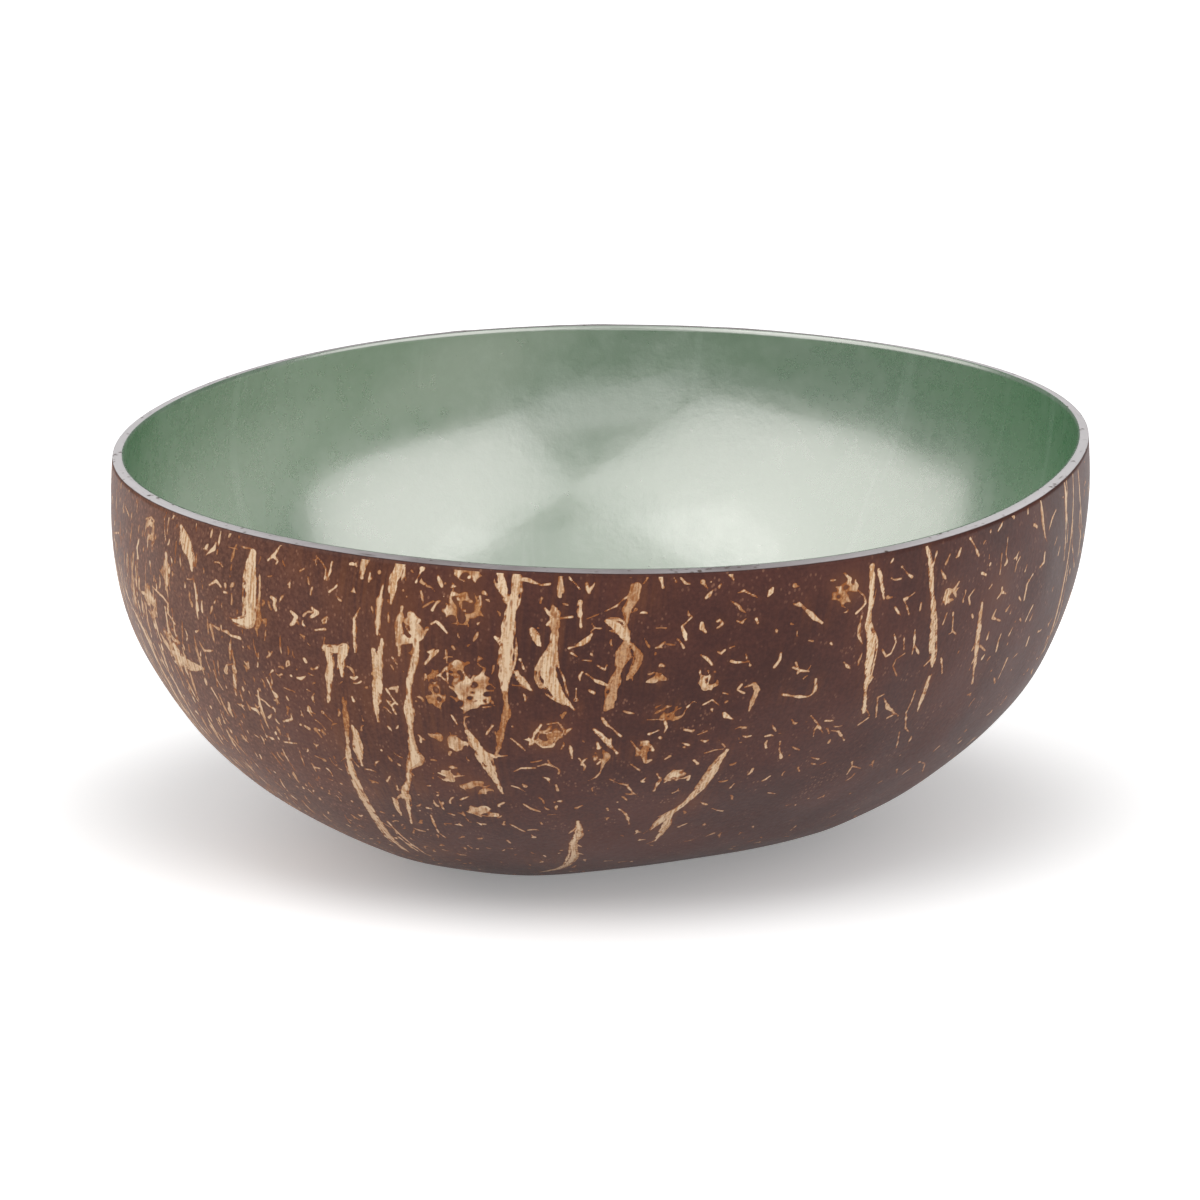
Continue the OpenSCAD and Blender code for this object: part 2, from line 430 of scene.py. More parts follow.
def shellColour(made):
    # the shell's colour, with fibre dust and painted sheen on its left flank, which lies under the fibres
    # too, and the place in the nut's grain
    place, grain = made.place(), made.attribute("grain", "Vector")
    clouds = made.noise(place, scale=60, detail=3)
    fine = made.noise(place, scale=1900, detail=2)
    warmth = made.between(clouds * 0.7 + fine * 0.3, 0.36, 0.64)
    base = made.mix(warmth, shellLook["dark"], shellLook["warm"])
    threads = made.noise(made.stretch(grain, (1500, 1500, 110)), scale=1, detail=3)
    stain = made.attribute("stain") * made.between(clouds * 0.5 + threads * 0.5, 0.36, 0.6)
    base = made.mix(stain * shellLook["stained"], base, shellLook["stain"])
    halo = made.attribute("halo") * made.between(threads, 0.36, 0.66)
    base = made.mix(halo * shellLook["haloed"], base, shellLook["halo"])
    dustAndSheen = made.attribute("dustAndSheen")
    crowd = made.between(made.noise(place, scale=240, detail=3) + dustAndSheen * 0.22, 0.5, 0.72)
    specks = made.spots(made.stretch(grain, (1, 1, 0.7)), 1500, 0.14, 0.34)
    base = made.mix(specks * crowd * shellLook["specked"], base, shellLook["dustAndSheen"])
    # a pale overlay, strongest on the left flank: partly fibre dust, partly painted sheen of the light from
    # the left
    dustAndSheen = dustAndSheen * (shellLook["dustAndSheenShare"] + made.between(fine, 0.35, 0.7) * shellLook["dustAndSheenGrain"])
    return made.mix(dustAndSheen, base, shellLook["dustAndSheen"]), grain


def shellFinish():
    made = Finish("groundShell")
    base, grain = shellColour(made)
    foot = 1 - made.between(made.part("Z"), 0.0001, 0.0004)   # the foot cuts across the fibres
    ends = made.spots(made.place(), 420, 0.16, 0.26)
    ends = ends * made.between(made.noise(made.place(), scale=200, detail=2), 0.44, 0.56)
    base = made.mix(foot * ends, base, shellLook["dustAndSheen"])
    scratches = made.noise(made.stretch(grain, (4200, 4200, 160)), scale=1, detail=2)
    fine = made.noise(made.place(), scale=1300, detail=3)
    relief = made.bump(fine * 0.7 + scratches * 0.3, shellLook["bump"], shellLook["bumpDepth"])
    return made.shine(baseColour=base, roughness=shellLook["roughness"] + (fine - 0.5) * 0.16,
                      normal=relief, level=shellLook["level"])


def dustAndSheenOn(bearing):
    # 0 to 1: the flank on the left was ground through more fibre, so it is dustier there; the same overlay
    #         paints the sheen of the light from the left
    far = (bearing - math.radians(shellLook["dustAndSheenAt"]) + math.pi) % (2 * math.pi) - math.pi
    return 0.1 + 0.9 * np.exp(-(far / math.radians(shellLook["dustAndSheenWide"])) ** 2)


def storeStains(piece, points, stains):
    bearing, angle = wallPlace(points)
    for name in ("halo", "stain"):
        store(piece, name, "FLOAT", stains.sample(name, bearing, angle))
    # how much fibre dust and painted sheen lie at each point
    store(piece, "dustAndSheen", "FLOAT", dustAndSheenOn(bearing))
    store(piece, "grain", "FLOAT_VECTOR", grainOf(points))


def shellRings():
    around, down = shellLook["around"], shellLook["down"]
    top, foot = angleAt(cutHeight), angleAt(0.0)
    angles = [foot + (top - foot) * k / down for k in range(down + 1)]
    rings = [outsidePoint(bearings(around), np.full(around, angle)) for angle in angles]
    centre = np.array([rings[0][:, 0].mean(), rings[0][:, 1].mean(), 0.0])
    for share, count in footRings:
        rings.insert(0, centre + (rings[-down - 1][::count] - centre) * share)
    return rings + hollowRings(0.0, cutHeight, around, shellLook["insideSteps"]), centre


def buildShell():
    rings, centre = shellRings()
    points, faces = joinRings(rings, hollowTip(0.0), centre)
    piece = makePiece("shell_skin", points, faces, shellFinish())
    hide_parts("shell")
    return piece


# the large strands that the photograph shows. A stroke is x, y and width of its first point, in pixels and
# tenths of a mm, then for each next point the step in x and in y from the last one, and its width
strands = {
    "leaf": (181, 526, 8, 5, 14, 19, 4, 16, 16, 2, 15, 4),
    "leafTail": (193, 575, 3, 3, 19, 5, 2, 25, 3),
    "hooked": (253, 553, 15, -2, 19, 23, 0, 23, 22, -1, 15, 18, -2, 11, 17, -12, 0, 9, -7, -4, 3),
    "forkLeft": (325, 647, 10, 5, 14, 13, -1, 19, 7, -1, 22, 3),
    "forkRight": (346, 647, 13, -6, 12, 10, 2, 17, 4),
    "forkBar": (323, 648, 7, 12, 2, 10, 12, -3, 8),
    "rimFeather": (401, 562, 17, -6, 18, 14, -4, 24, 4),
    "rimBlur": (365, 560, 11, -3, 17, 6),
    "slimUpper": (383, 585, 4, -4, 24, 8, -2, 25, 6),
    "slimInner": (402, 607, 6, -2, 19, 9, -1, 29, 4),
    "twinLeft": (373, 649, 5, 1, 21, 6, 0, 16, 7),
    "twinRight": (382, 639, 6, -3, 21, 9, -2, 23, 14, -1, 17, 12, 2, 21, 4),
    "slimLeft": (355, 621, 4, -1, 16, 6, 1, 15, 3),
    "flankDrop": (166, 554, 9, 1, 19, 11, -1, 17, 3),
    "flankLong": (124, 585, 4, 17, 39, 8, 15, 33, 8, 20, 38, 8, 23, 34, 4),
    "flankSecond": (164, 664, 4, 13, 22, 6, 26, 43, 4),
    "flankChain": (161, 634, 7, 13, 19, 11, 16, 11, 15, 14, 5, 4),
    "flankThin": (234, 662, 4, 1, 18, 5, 1, 16, 3),
    "stake": (512, 597, 12, -1, 15, 15, -2, 18, 17, -2, 25, 19, -1, 20, 16, -1, 19, 4),
    "stakeLeft": (501, 569, 11, 1, 14, 13, 4, 14, 9, 4, 9, 5),
    "stakeRight": (517, 569, 10, 0, 16, 12, -3, 18, 10, -2, 9, 6),
    "stakeSpur": (495, 637, 3, 5, 8, 6, 4, 7, 4),
    "sharkFin": (556, 609, 6, -2, 31, 9, -4, 20, 20, -1, 15, 26, 8, 17, 19, 17, 17, 4),
    "raggedTop": (608, 622, 8, 9, 5, 17, 8, 10, 13, 5, 8, 4),
    "column": (409, 613, 5, 4, 12, 12, 3, 17, 13, -1, 18, 11, -5, 18, 8, -1, 17, 7, 0, 15, 14, 1, 12, 6,
        1, 16, 5, 2, 12, 10, 2, 8, 18, -6, 10, 7, -1, 13, 5, -4, 10, 10, 4, 12, 8, 4, 21, 3),
    "anvil": (479, 748, 16, 10, 17, 14, 7, 14, 8, 7, 15, 3),
    "anvilArm": (467, 731, 9, 7, 9, 11, 7, 10, 12, 15, 7, 5),
    "sweep": (727, 750, 5, -13, 20, 13, -13, 18, 14, -18, 17, 9, -18, 13, 12, -15, 13, 4),
    "sweepFork": (670, 816, 8, -5, 12, 9, -10, 13, 3),
    "sliver": (594, 729, 3, 10, 7, 6, 13, 17, 2.5),
    "rightStrand": (872, 567, 11, 0, 23, 10, -3, 20, 6, -1, 15, 9, 4, 20, 13, -3, 23, 10, -3, 22, 6,
        -2, 22, 8),
    "rightSpur": (878, 569, 5, 6, 30, 4),
    "rightLeft": (862, 616, 4, -4, 17, 4, 4, 10, 4),
    "middleRight": (927, 547, 6, 4, 23, 7, 1, 22, 5, 1, 22, 9, 0, 23, 10, 0, 18, 9, -1, 12, 4),
    "middleTail": (929, 677, 6, -6, 17, 6, -6, 18, 3),
    "outerRight": (982, 603, 4, -4, 29, 8, -3, 27, 6, -3, 25, 3),
    "rimRight": (1040, 498, 6, 3, 19, 7, 2, 20, 3),
    "edgeOne": (1070, 471, 4, 3, 39, 5, -4, 42, 5, -9, 48, 4, -16, 50, 4),
    "edgeTwo": (1078, 470, 3, 3, 45, 5, -3, 41, 3),
    "edgeThree": (1064, 480, 4, 2, 19, 10, 0, 31, 4, -2, 30, 3),
    "corner": (783, 694, 4, 20, 3, 3.5, 10, -4, 4, 3, -14, 5),
    "dart": (799, 603, 3, 11, 9, 4, 5, 6, 9, 7, 5, 3),
    "longCurve": (347, 740, 4, 2, 22, 10, 7, 21, 10, 11, 22, 9, 14, 21, 9, 14, 16, 9, 14, 10, 3),
    "besideCurve": (354, 734, 4, 4, 14, 10, 4, 17, 4),
    "fanOne": (399, 837, 4, 19, 14, 3.5, 23, 16, 3),
    "fanTwo": (388, 822, 3, 16, 16, 4, 22, 16, 3),
    "fanThree": (394, 799, 6, 4, 9, 5, 4, 8, 3),
    "nearFoot": (578, 822, 5, 0, 13, 11, -5, 8, 6, 0, 14, 10, -11, 10, 7, -22, 5, 3),
    "vLeft": (587, 583, 3, 2, 9, 6),
    "vRight": (595, 583, 3, -6, 9, 5),
    "rimTick": (561, 576, 4, -1, 20, 6),
    "tick": (580, 601, 5, 1, 26, 3),
    "grain": (532, 629, 7, 4, 9, 10, 4, 7, 5),
    "blade": (517, 672, 6, 5, 9, 10, 8, 9, 3),
    "oval": (661, 577, 6, 2, 10, 6),
}


# the browner ones among them
brownStrands = {
    "raggedNeck": (638, 586, 12, -4, 11, 16, -5, 12, 10, -2, 13, 5),
    "raggedBody": (627, 640, 8, -3, 10, 17, -3, 12, 16, -3, 11, 6),
    "raggedFoot": (618, 672, 5, -3, 12, 13, -3, 12, 15, -4, 10, 13, -3, 4, 4),
    "raggedSide": (632, 645, 5, 6, 12, 8, -4, 11, 8, -7, 12, 4),
    "finNeck": (553, 606, 5, 3, 12, 10, -1, 16, 9),
}


# webs of fibre in the photograph: x and y, then width and height in mm, and how brown they are
patches = {
    "rimLeft": (466, 574, 4.0, 2.4, 0.4), "knot": (464, 606, 5.0, 5.6, 0.8),
    "net": (469, 683, 5.2, 9.0, 0.3), "columnWeb": (413, 636, 3.0, 6.5, 0.3),
    "brownColumn": (435, 690, 2.6, 6.0, 0.8), "loops": (545, 737, 5.0, 3.8, 0.5),
    "loopRight": (556, 730, 3.0, 3.0, 0.7), "brownRing": (478, 787, 4.0, 3.0, 0.9),
    "brownOval": (601, 757, 2.4, 3.8, 0.8), "ovalTwo": (644, 750, 2.2, 3.4, 0.8),
    "smear": (671, 713, 4.4, 2.6, 0.8), "crumbs": (448, 742, 5.0, 3.4, 0.5),
    "dashes": (452, 775, 5.0, 2.6, 0.4), "cascade": (484, 812, 5.0, 3.0, 0.4),
    "flank": (151, 600, 4.0, 5.0, 0.4), "flankLow": (176, 650, 5.0, 6.0, 0.3),
    "ringRight": (846, 590, 4.6, 4.4, 0.7), "star": (708, 683, 2.4, 3.0, 0.3),
    "tuft": (655, 678, 3.2, 2.0, 0.4), "flare": (951, 593, 3.0, 3.4, 0.5),
    "lowRight": (676, 775, 3.0, 3.0, 0.6), "crossing": (150, 530, 3.4, 3.4, 0.7),
}


# rust-coloured lines that run on below some strands
rustLines = {
    "underStake": (505, 691, 7, 1, 21, 7, -4, 19, 5, -6, 25, 3),
    "underSlim": (343, 697, 3, 3, 21, 5, 2, 18, 3),
    "underHook": (258, 600, 4, 1, 18, 5, -3, 12, 3),
}


# smaller marks in the photograph: the tone from cream 0 to rust 1, then a stroke as above
flecksSeen = (
    (0.1, 438, 576, 4, 2, 5, 8, 2, 6, 5), (0.2, 421, 591, 3, 1, 6, 5, 1, 6, 2),
    (0.1, 431, 624, 3, 5, -3, 5, 5, 5, 6, 6, 7, 4), (0.3, 480, 597, 3, 1, 10, 4),
    (0.2, 439, 675, 3, 8, -8, 4, 1, 15, 3, -8, -7, 3), (0.2, 425, 664, 4, 6, -8, 5, 7, -6, 3),
    (0.3, 446, 650, 2, 1, 12, 4), (0.3, 391, 665, 3, 4, 7, 3), (0.2, 386, 699, 2, 6, 8, 5, 4, 7, 4),
    (0.2, 391, 706, 3, 4, -4, 2.5), (0.1, 451, 714, 2, 3, 5, 6, 3, 5, 2),
    (0.1, 520, 660, 5, 2, 3, 3, 2, 6, 2), (0.1, 515, 672, 4, 7, 9, 9, 5, 5, 6, 5, 5, 2),
    (0.4, 512, 685, 2, 9, 1, 3), (0.0, 532, 630, 5, 3, 7, 10, 4, 7, 8, 2, 2, 3),
    (0.2, 545, 608, 3, 8, 11, 6, -6, 6, 4), (0.1, 553, 619, 5, 10, -1, 5, 9, -1, 4),
    (0.8, 553, 607, 6, 4, 13, 8, -2, 16, 6, 1, 13, 5), (0.1, 580, 601, 6, 1, 10, 4.5, 0, 14, 1.5),
    (0.2, 563, 604, 2, 5, 1, 3), (0.1, 569, 648, 4, 6, -1, 3, 6, -3, 8, 7, -5, 9, 4, -5, 4),
    (0.3, 571, 653, 2, 10, 7, 2.5, 10, 1, 1.5), (0.4, 587, 619, 2, 15, -6, 2, 14, -7, 2, 11, -9, 1.5),
    (0.1, 598, 666, 3, 7, 4, 4.5, 2, -5, 2), (0.2, 586, 674, 3, 10, 7, 6, 12, 5, 3),
    (0.1, 589, 690, 4, 5, 3, 5), (0.2, 602, 717, 5, 5, 8, 7, 5, 3, 3.5, 9, 8, 3),
    (0.1, 570, 745, 2, 1, 5, 6, 1, 8, 1.5), (0.3, 579, 758, 2, 6, 8, 4, -1, 4, 2),
    (0.1, 541, 725, 5, -6, 8, 7, -5, 11, 5),
    (0.2, 535, 741, 3, 8, 6, 4, 9, -1, 5, 5, -7, 3, -6, -7, 3, -8, 1, 3),
    (0.5, 547, 724, 2.5, 11, -2, 3, 6, 9, 2.5, -4, 6, 3), (0.2, 511, 738, 2, 6, 5, 4.5, 8, 7, 2),
    (0.2, 513, 772, 2, 8, -4, 5, 14, 0, 2), (0.3, 538, 766, 1.5, 8, -2, 4, 8, 3, 1.5),
    (0.1, 512, 786, 2, 6, 2, 4, 7, 4, 2), (0.2, 542, 777, 2, 6, 2, 3, 2, 5, 2),
    (0.4, 556, 785, 3, 2, 6, 2.5), (0.4, 483, 707, 1.5, 13, -2, 1.5),
    (0.2, 493, 725, 3, -4, 4, 5, -3, 5, 2), (0.1, 438, 772, 3, 8, 3, 7, 9, 1, 5, 11, -1, 1.5),
    (0.3, 438, 798, 2, 4, 8, 3.5, 3, 6, 3, 9, 3, 1.5), (0.2, 431, 815, 3.5, 4, 10, 4.5, 4, 8, 3, 7, 5, 2),
    (0.1, 393, 798, 3, 4, 10, 6, 5, 8, 2), (0.1, 394, 753, 2, 5, 3, 4.5, 4, 2, 2),
    (0.1, 390, 776, 3, -3, 5, 5), (0.2, 510, 824, 1.5, 7, 4, 4.5, 8, 4, 1.5),
    (0.3, 523, 804, 1.5, 8, 5, 5, 9, 3, 2), (0.3, 610, 779, 1.5, 8, 4, 3, 9, 2, 4, 5, 7, 3, 6, 5, 2),
    (0.4, 631, 741, 3, 7, 9, 4, 8, 12, 6, 5, -2, 3), (0.9, 648, 743, 5, -4, 9, 14, 1, 7, 6),
    (0.3, 604, 762, 4, -4, 10, 3.5, -4, 5, 2.5, -8, 4, 2), (0.3, 619, 810, 4, 6, 4, 3, 3, 5, 5, 1, 6, 3),
    (0.3, 654, 791, 3, 3, -8, 3.5, 4, -5, 2), (0.2, 647, 720, 2, 17, 0, 3),
    (0.1, 665, 722, 4, 2, 6, 5, -3, 5, 3), (0.9, 505, 693, 7, 2, 12, 7, -3, 15, 6, -2, 15, 5, -6, 20, 4),
    (0.2, 495, 638, 1.5, 6, 7, 4), (0.3, 521, 579, 3, 9, 2, 6, 11, 4, 6, 9, -1, 5),
    (0.4, 487, 760, 3, 8, -4, 3.5, 4, -1, 2), (0.3, 674, 578, 2, 2, 4, 3),
    (0.3, 681, 578, 2, 5, 6, 3, 4, 0, 2), (0.3, 706, 598, 4, 3, -3, 6, 4, -5, 4),
    (0.1, 728, 571, 3, 3, 4, 8, 3, 5, 3), (0.2, 738, 593, 2, 6, -2, 4, 7, 3, 2.5, 6, 3, 2),
    (0.0, 773, 588, 3, -2, 4, 8, -3, 4, 4), (0.4, 731, 601, 1.5, 8, 5, 2, 2, 3, 4, 5, 4, 2),
    (0.2, 692, 617, 2, -6, 6, 3.5, -4, 3, 3), (0.0, 682, 627, 4, 3, 7, 7, 1, 6, 6),
    (0.1, 702, 623, 4, 0, 5, 10, 4, 4, 5), (0.2, 717, 622, 3.5, 3, -2, 4, 3, 3, 4, -3, 3, 3.5, -3, 2, 4),
    (0.3, 737, 621, 2, 5, 2, 3.5, 2, -3, 3, 3, -2, 2), (0.2, 756, 619, 4, 2, 4, 5),
    (0.3, 656, 628, 2, 10, 0, 3), (0.1, 666, 644, 2, 4, 1, 6, 5, 0, 2),
    (0.4, 718, 652, 3, 3, 2, 4, 4, -4, 3), (0.3, 730, 648, 2, 5, -2, 2.5),
    (0.1, 731, 661, 6, 4, 1, 3, 9, 0, 3, 5, -1, 4, 1, 4, 3), (0.3, 746, 654, 3, 1, 7, 3),
    (0.1, 781, 653, 3, -1, 6, 7, -6, 8, 3), (0.2, 701, 655, 3, 5, 3, 6, 6, 7, 1.5),
    (0.1, 700, 670, 2, 1, 11, 4, 5, 6, 13), (0.2, 708, 671, 2.5, 2, 5, 3, -2, 7, 5, -2, 4, 8),
    (0.4, 723, 693, 2, 5, 1, 2.5), (0.1, 703, 705, 2, 9, -5, 3.5, 7, 5, 2), (0.3, 738, 690, 3, 6, 3, 4),
    (0.4, 742, 684, 2, -4, 5, 2.5), (0.5, 745, 687, 3, 9, -4, 7, 3, 7, 11, -4, 10, 9, -4, 11, 3),
    (0.2, 793, 667, 3, 8, 3, 5, 8, 1, 3.5), (0.4, 796, 662, 2, 3, 8, 4, -2, 4, 2),
    (0.3, 811, 665, 2, -3, 5, 2.5), (0.1, 844, 662, 3, 3, 4, 7, 3, 2, 3), (0.1, 831, 643, 4.5, 1, 1, 4),
    (0.4, 808, 640, 2, 5, 1, 2.5), (0.5, 797, 631, 3, 0, 5, 3), (0.4, 791, 624, 3, 5, 1, 3),
    (0.2, 856, 613, 4, 6, -5, 3.5, 4, -5, 4, -2, -7, 3.5, -6, -6, 3),
    (0.2, 811, 716, 3, 7, 9, 4, -4, 6, 2.5, -1, 6, 3), (0.3, 818, 726, 3, 5, 8, 2),
    (0.2, 825, 721, 2, 8, 0, 3), (0.3, 831, 731, 2, 7, 1, 3, 3, 4, 4.5, 3, 5, 2),
    (0.2, 830, 740, 3, -2, 4, 6), (0.3, 772, 725, 1.5, 4, 7, 2), (0.2, 776, 734, 4, 5, 0, 4),
    (0.1, 767, 741, 3, -2, 4, 7, 1, 3, 3), (0.2, 780, 742, 2, -1, 8, 3, 2, 8, 7),
    (0.2, 743, 736, 3, 3, 1, 5, 5, -1, 2), (0.0, 724, 713, 4, 2, 3, 10, 7, 3, 4),
    (0.4, 735, 729, 3, 5, -2, 4, 6, 1, 3), (0.2, 701, 740, 3, 4, 1, 6, 3, -1, 2),
    (0.1, 682, 743, 2, 4, 1, 4, 3, 1, 2), (0.3, 697, 735, 2, 10, -4, 3),
    (0.3, 704, 753, 1.5, 10, -3, 3.5, 9, -1, 1.5), (0.3, 719, 740, 1.5, 6, 7, 3),
    (0.1, 694, 760, 4, 4, 3, 4), (0.2, 665, 759, 3, 5, -3, 4.5),
    (0.1, 669, 778, 2, 9, 1, 3, 7, -1, 4.5, 4, -2, 4, -1, 4, 4),
    (0.2, 657, 774, 4, 4, 6, 4, -4, 6, 3, -3, 5, 4), (0.1, 762, 781, 3, 4, -2, 5, 4, -3, 2),
    (0.2, 730, 788, 3, 4, -4, 2), (0.2, 768, 793, 2, 7, 1, 3), (0.2, 798, 768, 3, 1, 4, 3),
    (0.3, 852, 762, 2, 0, 4, 4, -5, 8, 2), (0.3, 852, 766, 3, 9, 2, 2), (0.4, 811, 758, 2, 7, 2, 2),
    (0.4, 811, 764, 1.5, 7, 2, 2.5, 7, -3, 1.5), (0.4, 918, 762, 2, 6, 2, 3, -3, 9, 3),
    (0.2, 712, 809, 2, 5, 2, 4, 5, 1, 2), (0.2, 894, 634, 3, 2, 8, 4, -5, 11, 4, -5, 3, 3, -4, -7, 2),
    (0.2, 904, 633, 2, 0, 16, 3), (0.2, 915, 630, 2, -1, 15, 5, -2, 9, 2), (0.3, 915, 646, 4, 4, 8, 2),
    (0.3, 904, 599, 1.5, 5, 15, 3), (0.1, 895, 607, 3, 3, 5, 5, 3, 4, 2),
    (0.1, 902, 567, 3, 5, 6, 4, 5, 4, 4), (0.3, 891, 578, 4, 3, 2, 3, 7, -1, 1.5),
    (0.4, 905, 653, 2, -9, 6, 3, -3, 7, 3.5, 4, 10, 2),
    (0.3, 915, 691, 2, -4, 12, 4, -5, 10, 3.5, -1, 15, 3, 4, 6, 2),
    (0.4, 884, 694, 1.5, -6, 3, 3, -1, 9, 3, -1, 11, 3), (0.3, 884, 698, 2, 4, 10, 7, 5, 4, 5, 5, 4, 1.5),
    (0.5, 862, 653, 3, -3, 8, 6, -1, 5, 2), (0.3, 899, 733, 2, -3, 15, 3), (0.3, 911, 737, 2, -5, 11, 3),
    (0.3, 868, 718, 1.5, -10, 7, 2), (0.3, 921, 603, 3, -1, 7, 4), (0.4, 887, 718, 3, 7, -3, 2.5),
    (0.3, 130, 483, 4, 4, 4, 3.5, -5, 5, 3), (0.2, 139, 485, 4, -1, 6, 3.5, -3, 6, 2),
    (0.2, 157, 497, 6, 1, 6, 7, 5, 8, 2), (0.3, 125, 505, 3, 4, 11, 3), (0.2, 169, 518, 3, -2, 16, 2.5),
    (0.4, 146, 519, 3, 5, -2, 3, 3, 4, 3.5, -3, 5, 3, -4, -3, 3), (0.1, 139, 539, 3, -2, 9, 8, 1, 10, 6),
    (0.2, 209, 517, 4, 2, 3, 4, -2, 4, 5, 1, 3, 2), (0.2, 237, 528, 2, -6, 5, 4, -2, 4, 3),
    (0.1, 216, 543, 4, -2, 6, 8, -8, 6, 3), (0.3, 229, 547, 3, 9, 2, 2.5),
    (0.1, 268, 560, 5, 5, -4, 5, 5, 5, 5, -2, 3, 4), (0.1, 274, 555, 4, 4, -6, 5, 5, -6, 3),
    (0.1, 288, 538, 3, 6, -2, 3), (0.2, 316, 556, 1.5, 6, 6, 3.5, 4, 7, 3, -1, 10, 5),
    (0.1, 332, 562, 4, -2, 10, 6, -3, 8, 4), (0.1, 308, 578, 5, 1, 6, 5), (0.2, 300, 571, 3, 4, -2, 3),
    (0.2, 268, 576, 4, 4, 0, 3), (0.1, 209, 585, 4, 7, -4, 5, 5, 6, 2), (0.1, 187, 579, 3.5, 6, 0, 2.5),
    (0.3, 214, 603, 4, 3, -5, 3), (0.2, 224, 592, 4, 3, 1, 3),
    (0.1, 271, 597, 4, 4, 3, 6, -1, 5, 5, 2, 5, 5), (0.1, 291, 611, 4, 5, 6, 8, -2, 5, 7, -3, 3, 4),
    (0.1, 312, 608, 5, 5, 5, 8, -6, 4, 4), (0.2, 322, 621, 4, 5, -4, 3, -1, 5, 4, -3, 1, 4),
    (0.1, 315, 630, 3, 10, -1, 5), (0.3, 360, 608, 2, -6, 11, 4, 0, 13, 5, 1, 10, 3),
    (0.3, 211, 624, 1.5, 8, 5, 4.5), (0.1, 224, 631, 3, 8, 5, 4, 8, 2, 8), (0.2, 196, 632, 4, 3, -2, 4),
    (0.7, 232, 651, 3, 3, 13, 3, 1, 22, 3), (0.3, 233, 664, 3, -6, 1, 3, -1, 7, 11),
    (0.3, 214, 671, 3, 3, 9, 4, 6, 10, 2.5), (0.1, 263, 672, 3, 5, 9, 4.5, 5, 11, 3.5, 3, 4, 12),
    (0.1, 273, 670, 2.5, -6, 8, 3.5), (0.1, 284, 688, 3, 11, 4, 3), (0.3, 256, 696, 1.5, 9, 6, 3, 5, 5, 4),
    (0.1, 252, 709, 4, 5, 2, 8, 3, 5, 4), (0.1, 304, 659, 5, 2, 3, 5),
    (0.1, 297, 678, 3, 4, 1, 6, 5, -3, 2), (0.1, 351, 677, 4.5, 3, 2, 5, 3, -2, 4),
    (0.1, 352, 697, 6, 2, 4, 6), (0.1, 291, 714, 3, 1, 5, 6, -8, 3, 2.5), (0.2, 305, 726, 4, 4, 3, 7),
    (0.2, 229, 704, 5, 1, 7, 10, 3, 6, 4), (0.3, 212, 689, 5, 4, 7, 5, 5, 9, 3),
    (0.2, 199, 641, 2, 5, 10, 4, 9, 0, 3), (0.3, 174, 590, 2, 6, 7, 2.5),
    (0.2, 352, 725, 4, 4, 9, 13, 5, 13, 10), (0.3, 346, 732, 4, 2, 9, 6, 1, 9, 4),
    (0.1, 386, 689, 3, 7, 10, 5, 4, 5, 3), (0.1, 392, 657, 3, 5, 7, 4), (0.2, 369, 582, 3, 1, -9, 4),
    (0.2, 152, 586, 3, 11, 11, 7, 5, 6, 6, 0, 10, 5, 7, 11, 3), (0.2, 142, 592, 8, 7, 3, 8, 1, 10, 5),
    (0.1, 114, 533, 3, 5, 0, 3), (0.3, 255, 736, 3, 5, 3, 3), (0.2, 267, 737, 3, 7, 3, 3),
    (0.2, 285, 743, 2, 12, 1, 3), (0.3, 269, 719, 3, 3, -4, 3), (0.2, 970, 538, 3, 4, 6, 4, 5, 12, 5),
    (0.2, 937, 551, 4, -2, 8, 3.5, -2, 7, 2), (0.2, 961, 548, 3, -2, 7, 7, -3, 3, 4),
    (0.6, 950, 555, 4, -4, 8, 5), (0.0, 1003, 521, 3, -2, 5, 6, -3, 5, 3), (0.2, 1011, 515, 3, 3, 2, 5),
    (0.2, 1026, 505, 3, 2, 8, 5), (0.2, 1056, 510, 4, -4, 9, 5, -3, 11, 2), (0.3, 1034, 525, 6, 3, 2, 7),
    (0.4, 1008, 537, 2, -2, 16, 2.5, 1, 9, 7, -2, 3, 4), (0.4, 1002, 553, 2, -2, 21, 2.5),
    (0.2, 1020, 557, 5, -3, 6, 3, -2, 9, 3), (0.3, 1027, 565, 3, -2, 6, 3),
    (0.1, 1045, 552, 5, -1, 10, 8, -4, 5, 4), (0.4, 1060, 547, 3, -2, 8, 4), (0.0, 982, 573, 6, 4, 2, 6),
    (0.2, 941, 570, 3, 2, 4, 5, 3, 5, 3), (0.4, 959, 582, 3, -5, 8, 9, 2, 7, 4),
    (0.6, 947, 592, 6, 2, 10, 7), (0.3, 974, 590, 2, -5, 7, 5, 1, 8, 3), (0.3, 992, 585, 3.5, -3, 4, 2.5),
    (0.1, 1002, 588, 4, 0, 4, 5, -5, 7, 3), (0.1, 1002, 592, 5, 4, 2, 3),
    (0.1, 1033, 574, 3, -6, 10, 5, -3, 16, 6), (0.3, 1019, 597, 4, 2, 4, 3),
    (0.2, 1033, 605, 5, -4, 8, 3.5, -4, 9, 2), (0.3, 1033, 613, 3, -3, 7, 4),
    (0.4, 1012, 608, 2, -2, 6, 3.5), (0.4, 996, 610, 3, -4, 8, 4.5, 9, 3, 3.5), (0.3, 972, 615, 4, 1, 3, 4),
    (0.1, 953, 613, 3, 0, 8, 4, -1, 11, 3), (0.2, 949, 634, 2, 4, -2, 3.5, 3, 2, 2),
    (0.3, 947, 613, 2, -4, 11, 3.5), (0.1, 989, 632, 4, -2, 7, 6), (0.1, 1001, 634, 4, -3, 8, 5, -2, 10, 2),
    (0.3, 1013, 627, 2, -4, 8, 4), (0.2, 1029, 637, 4, -3, 9, 5), (0.3, 980, 646, 4, 5, 5, 3),
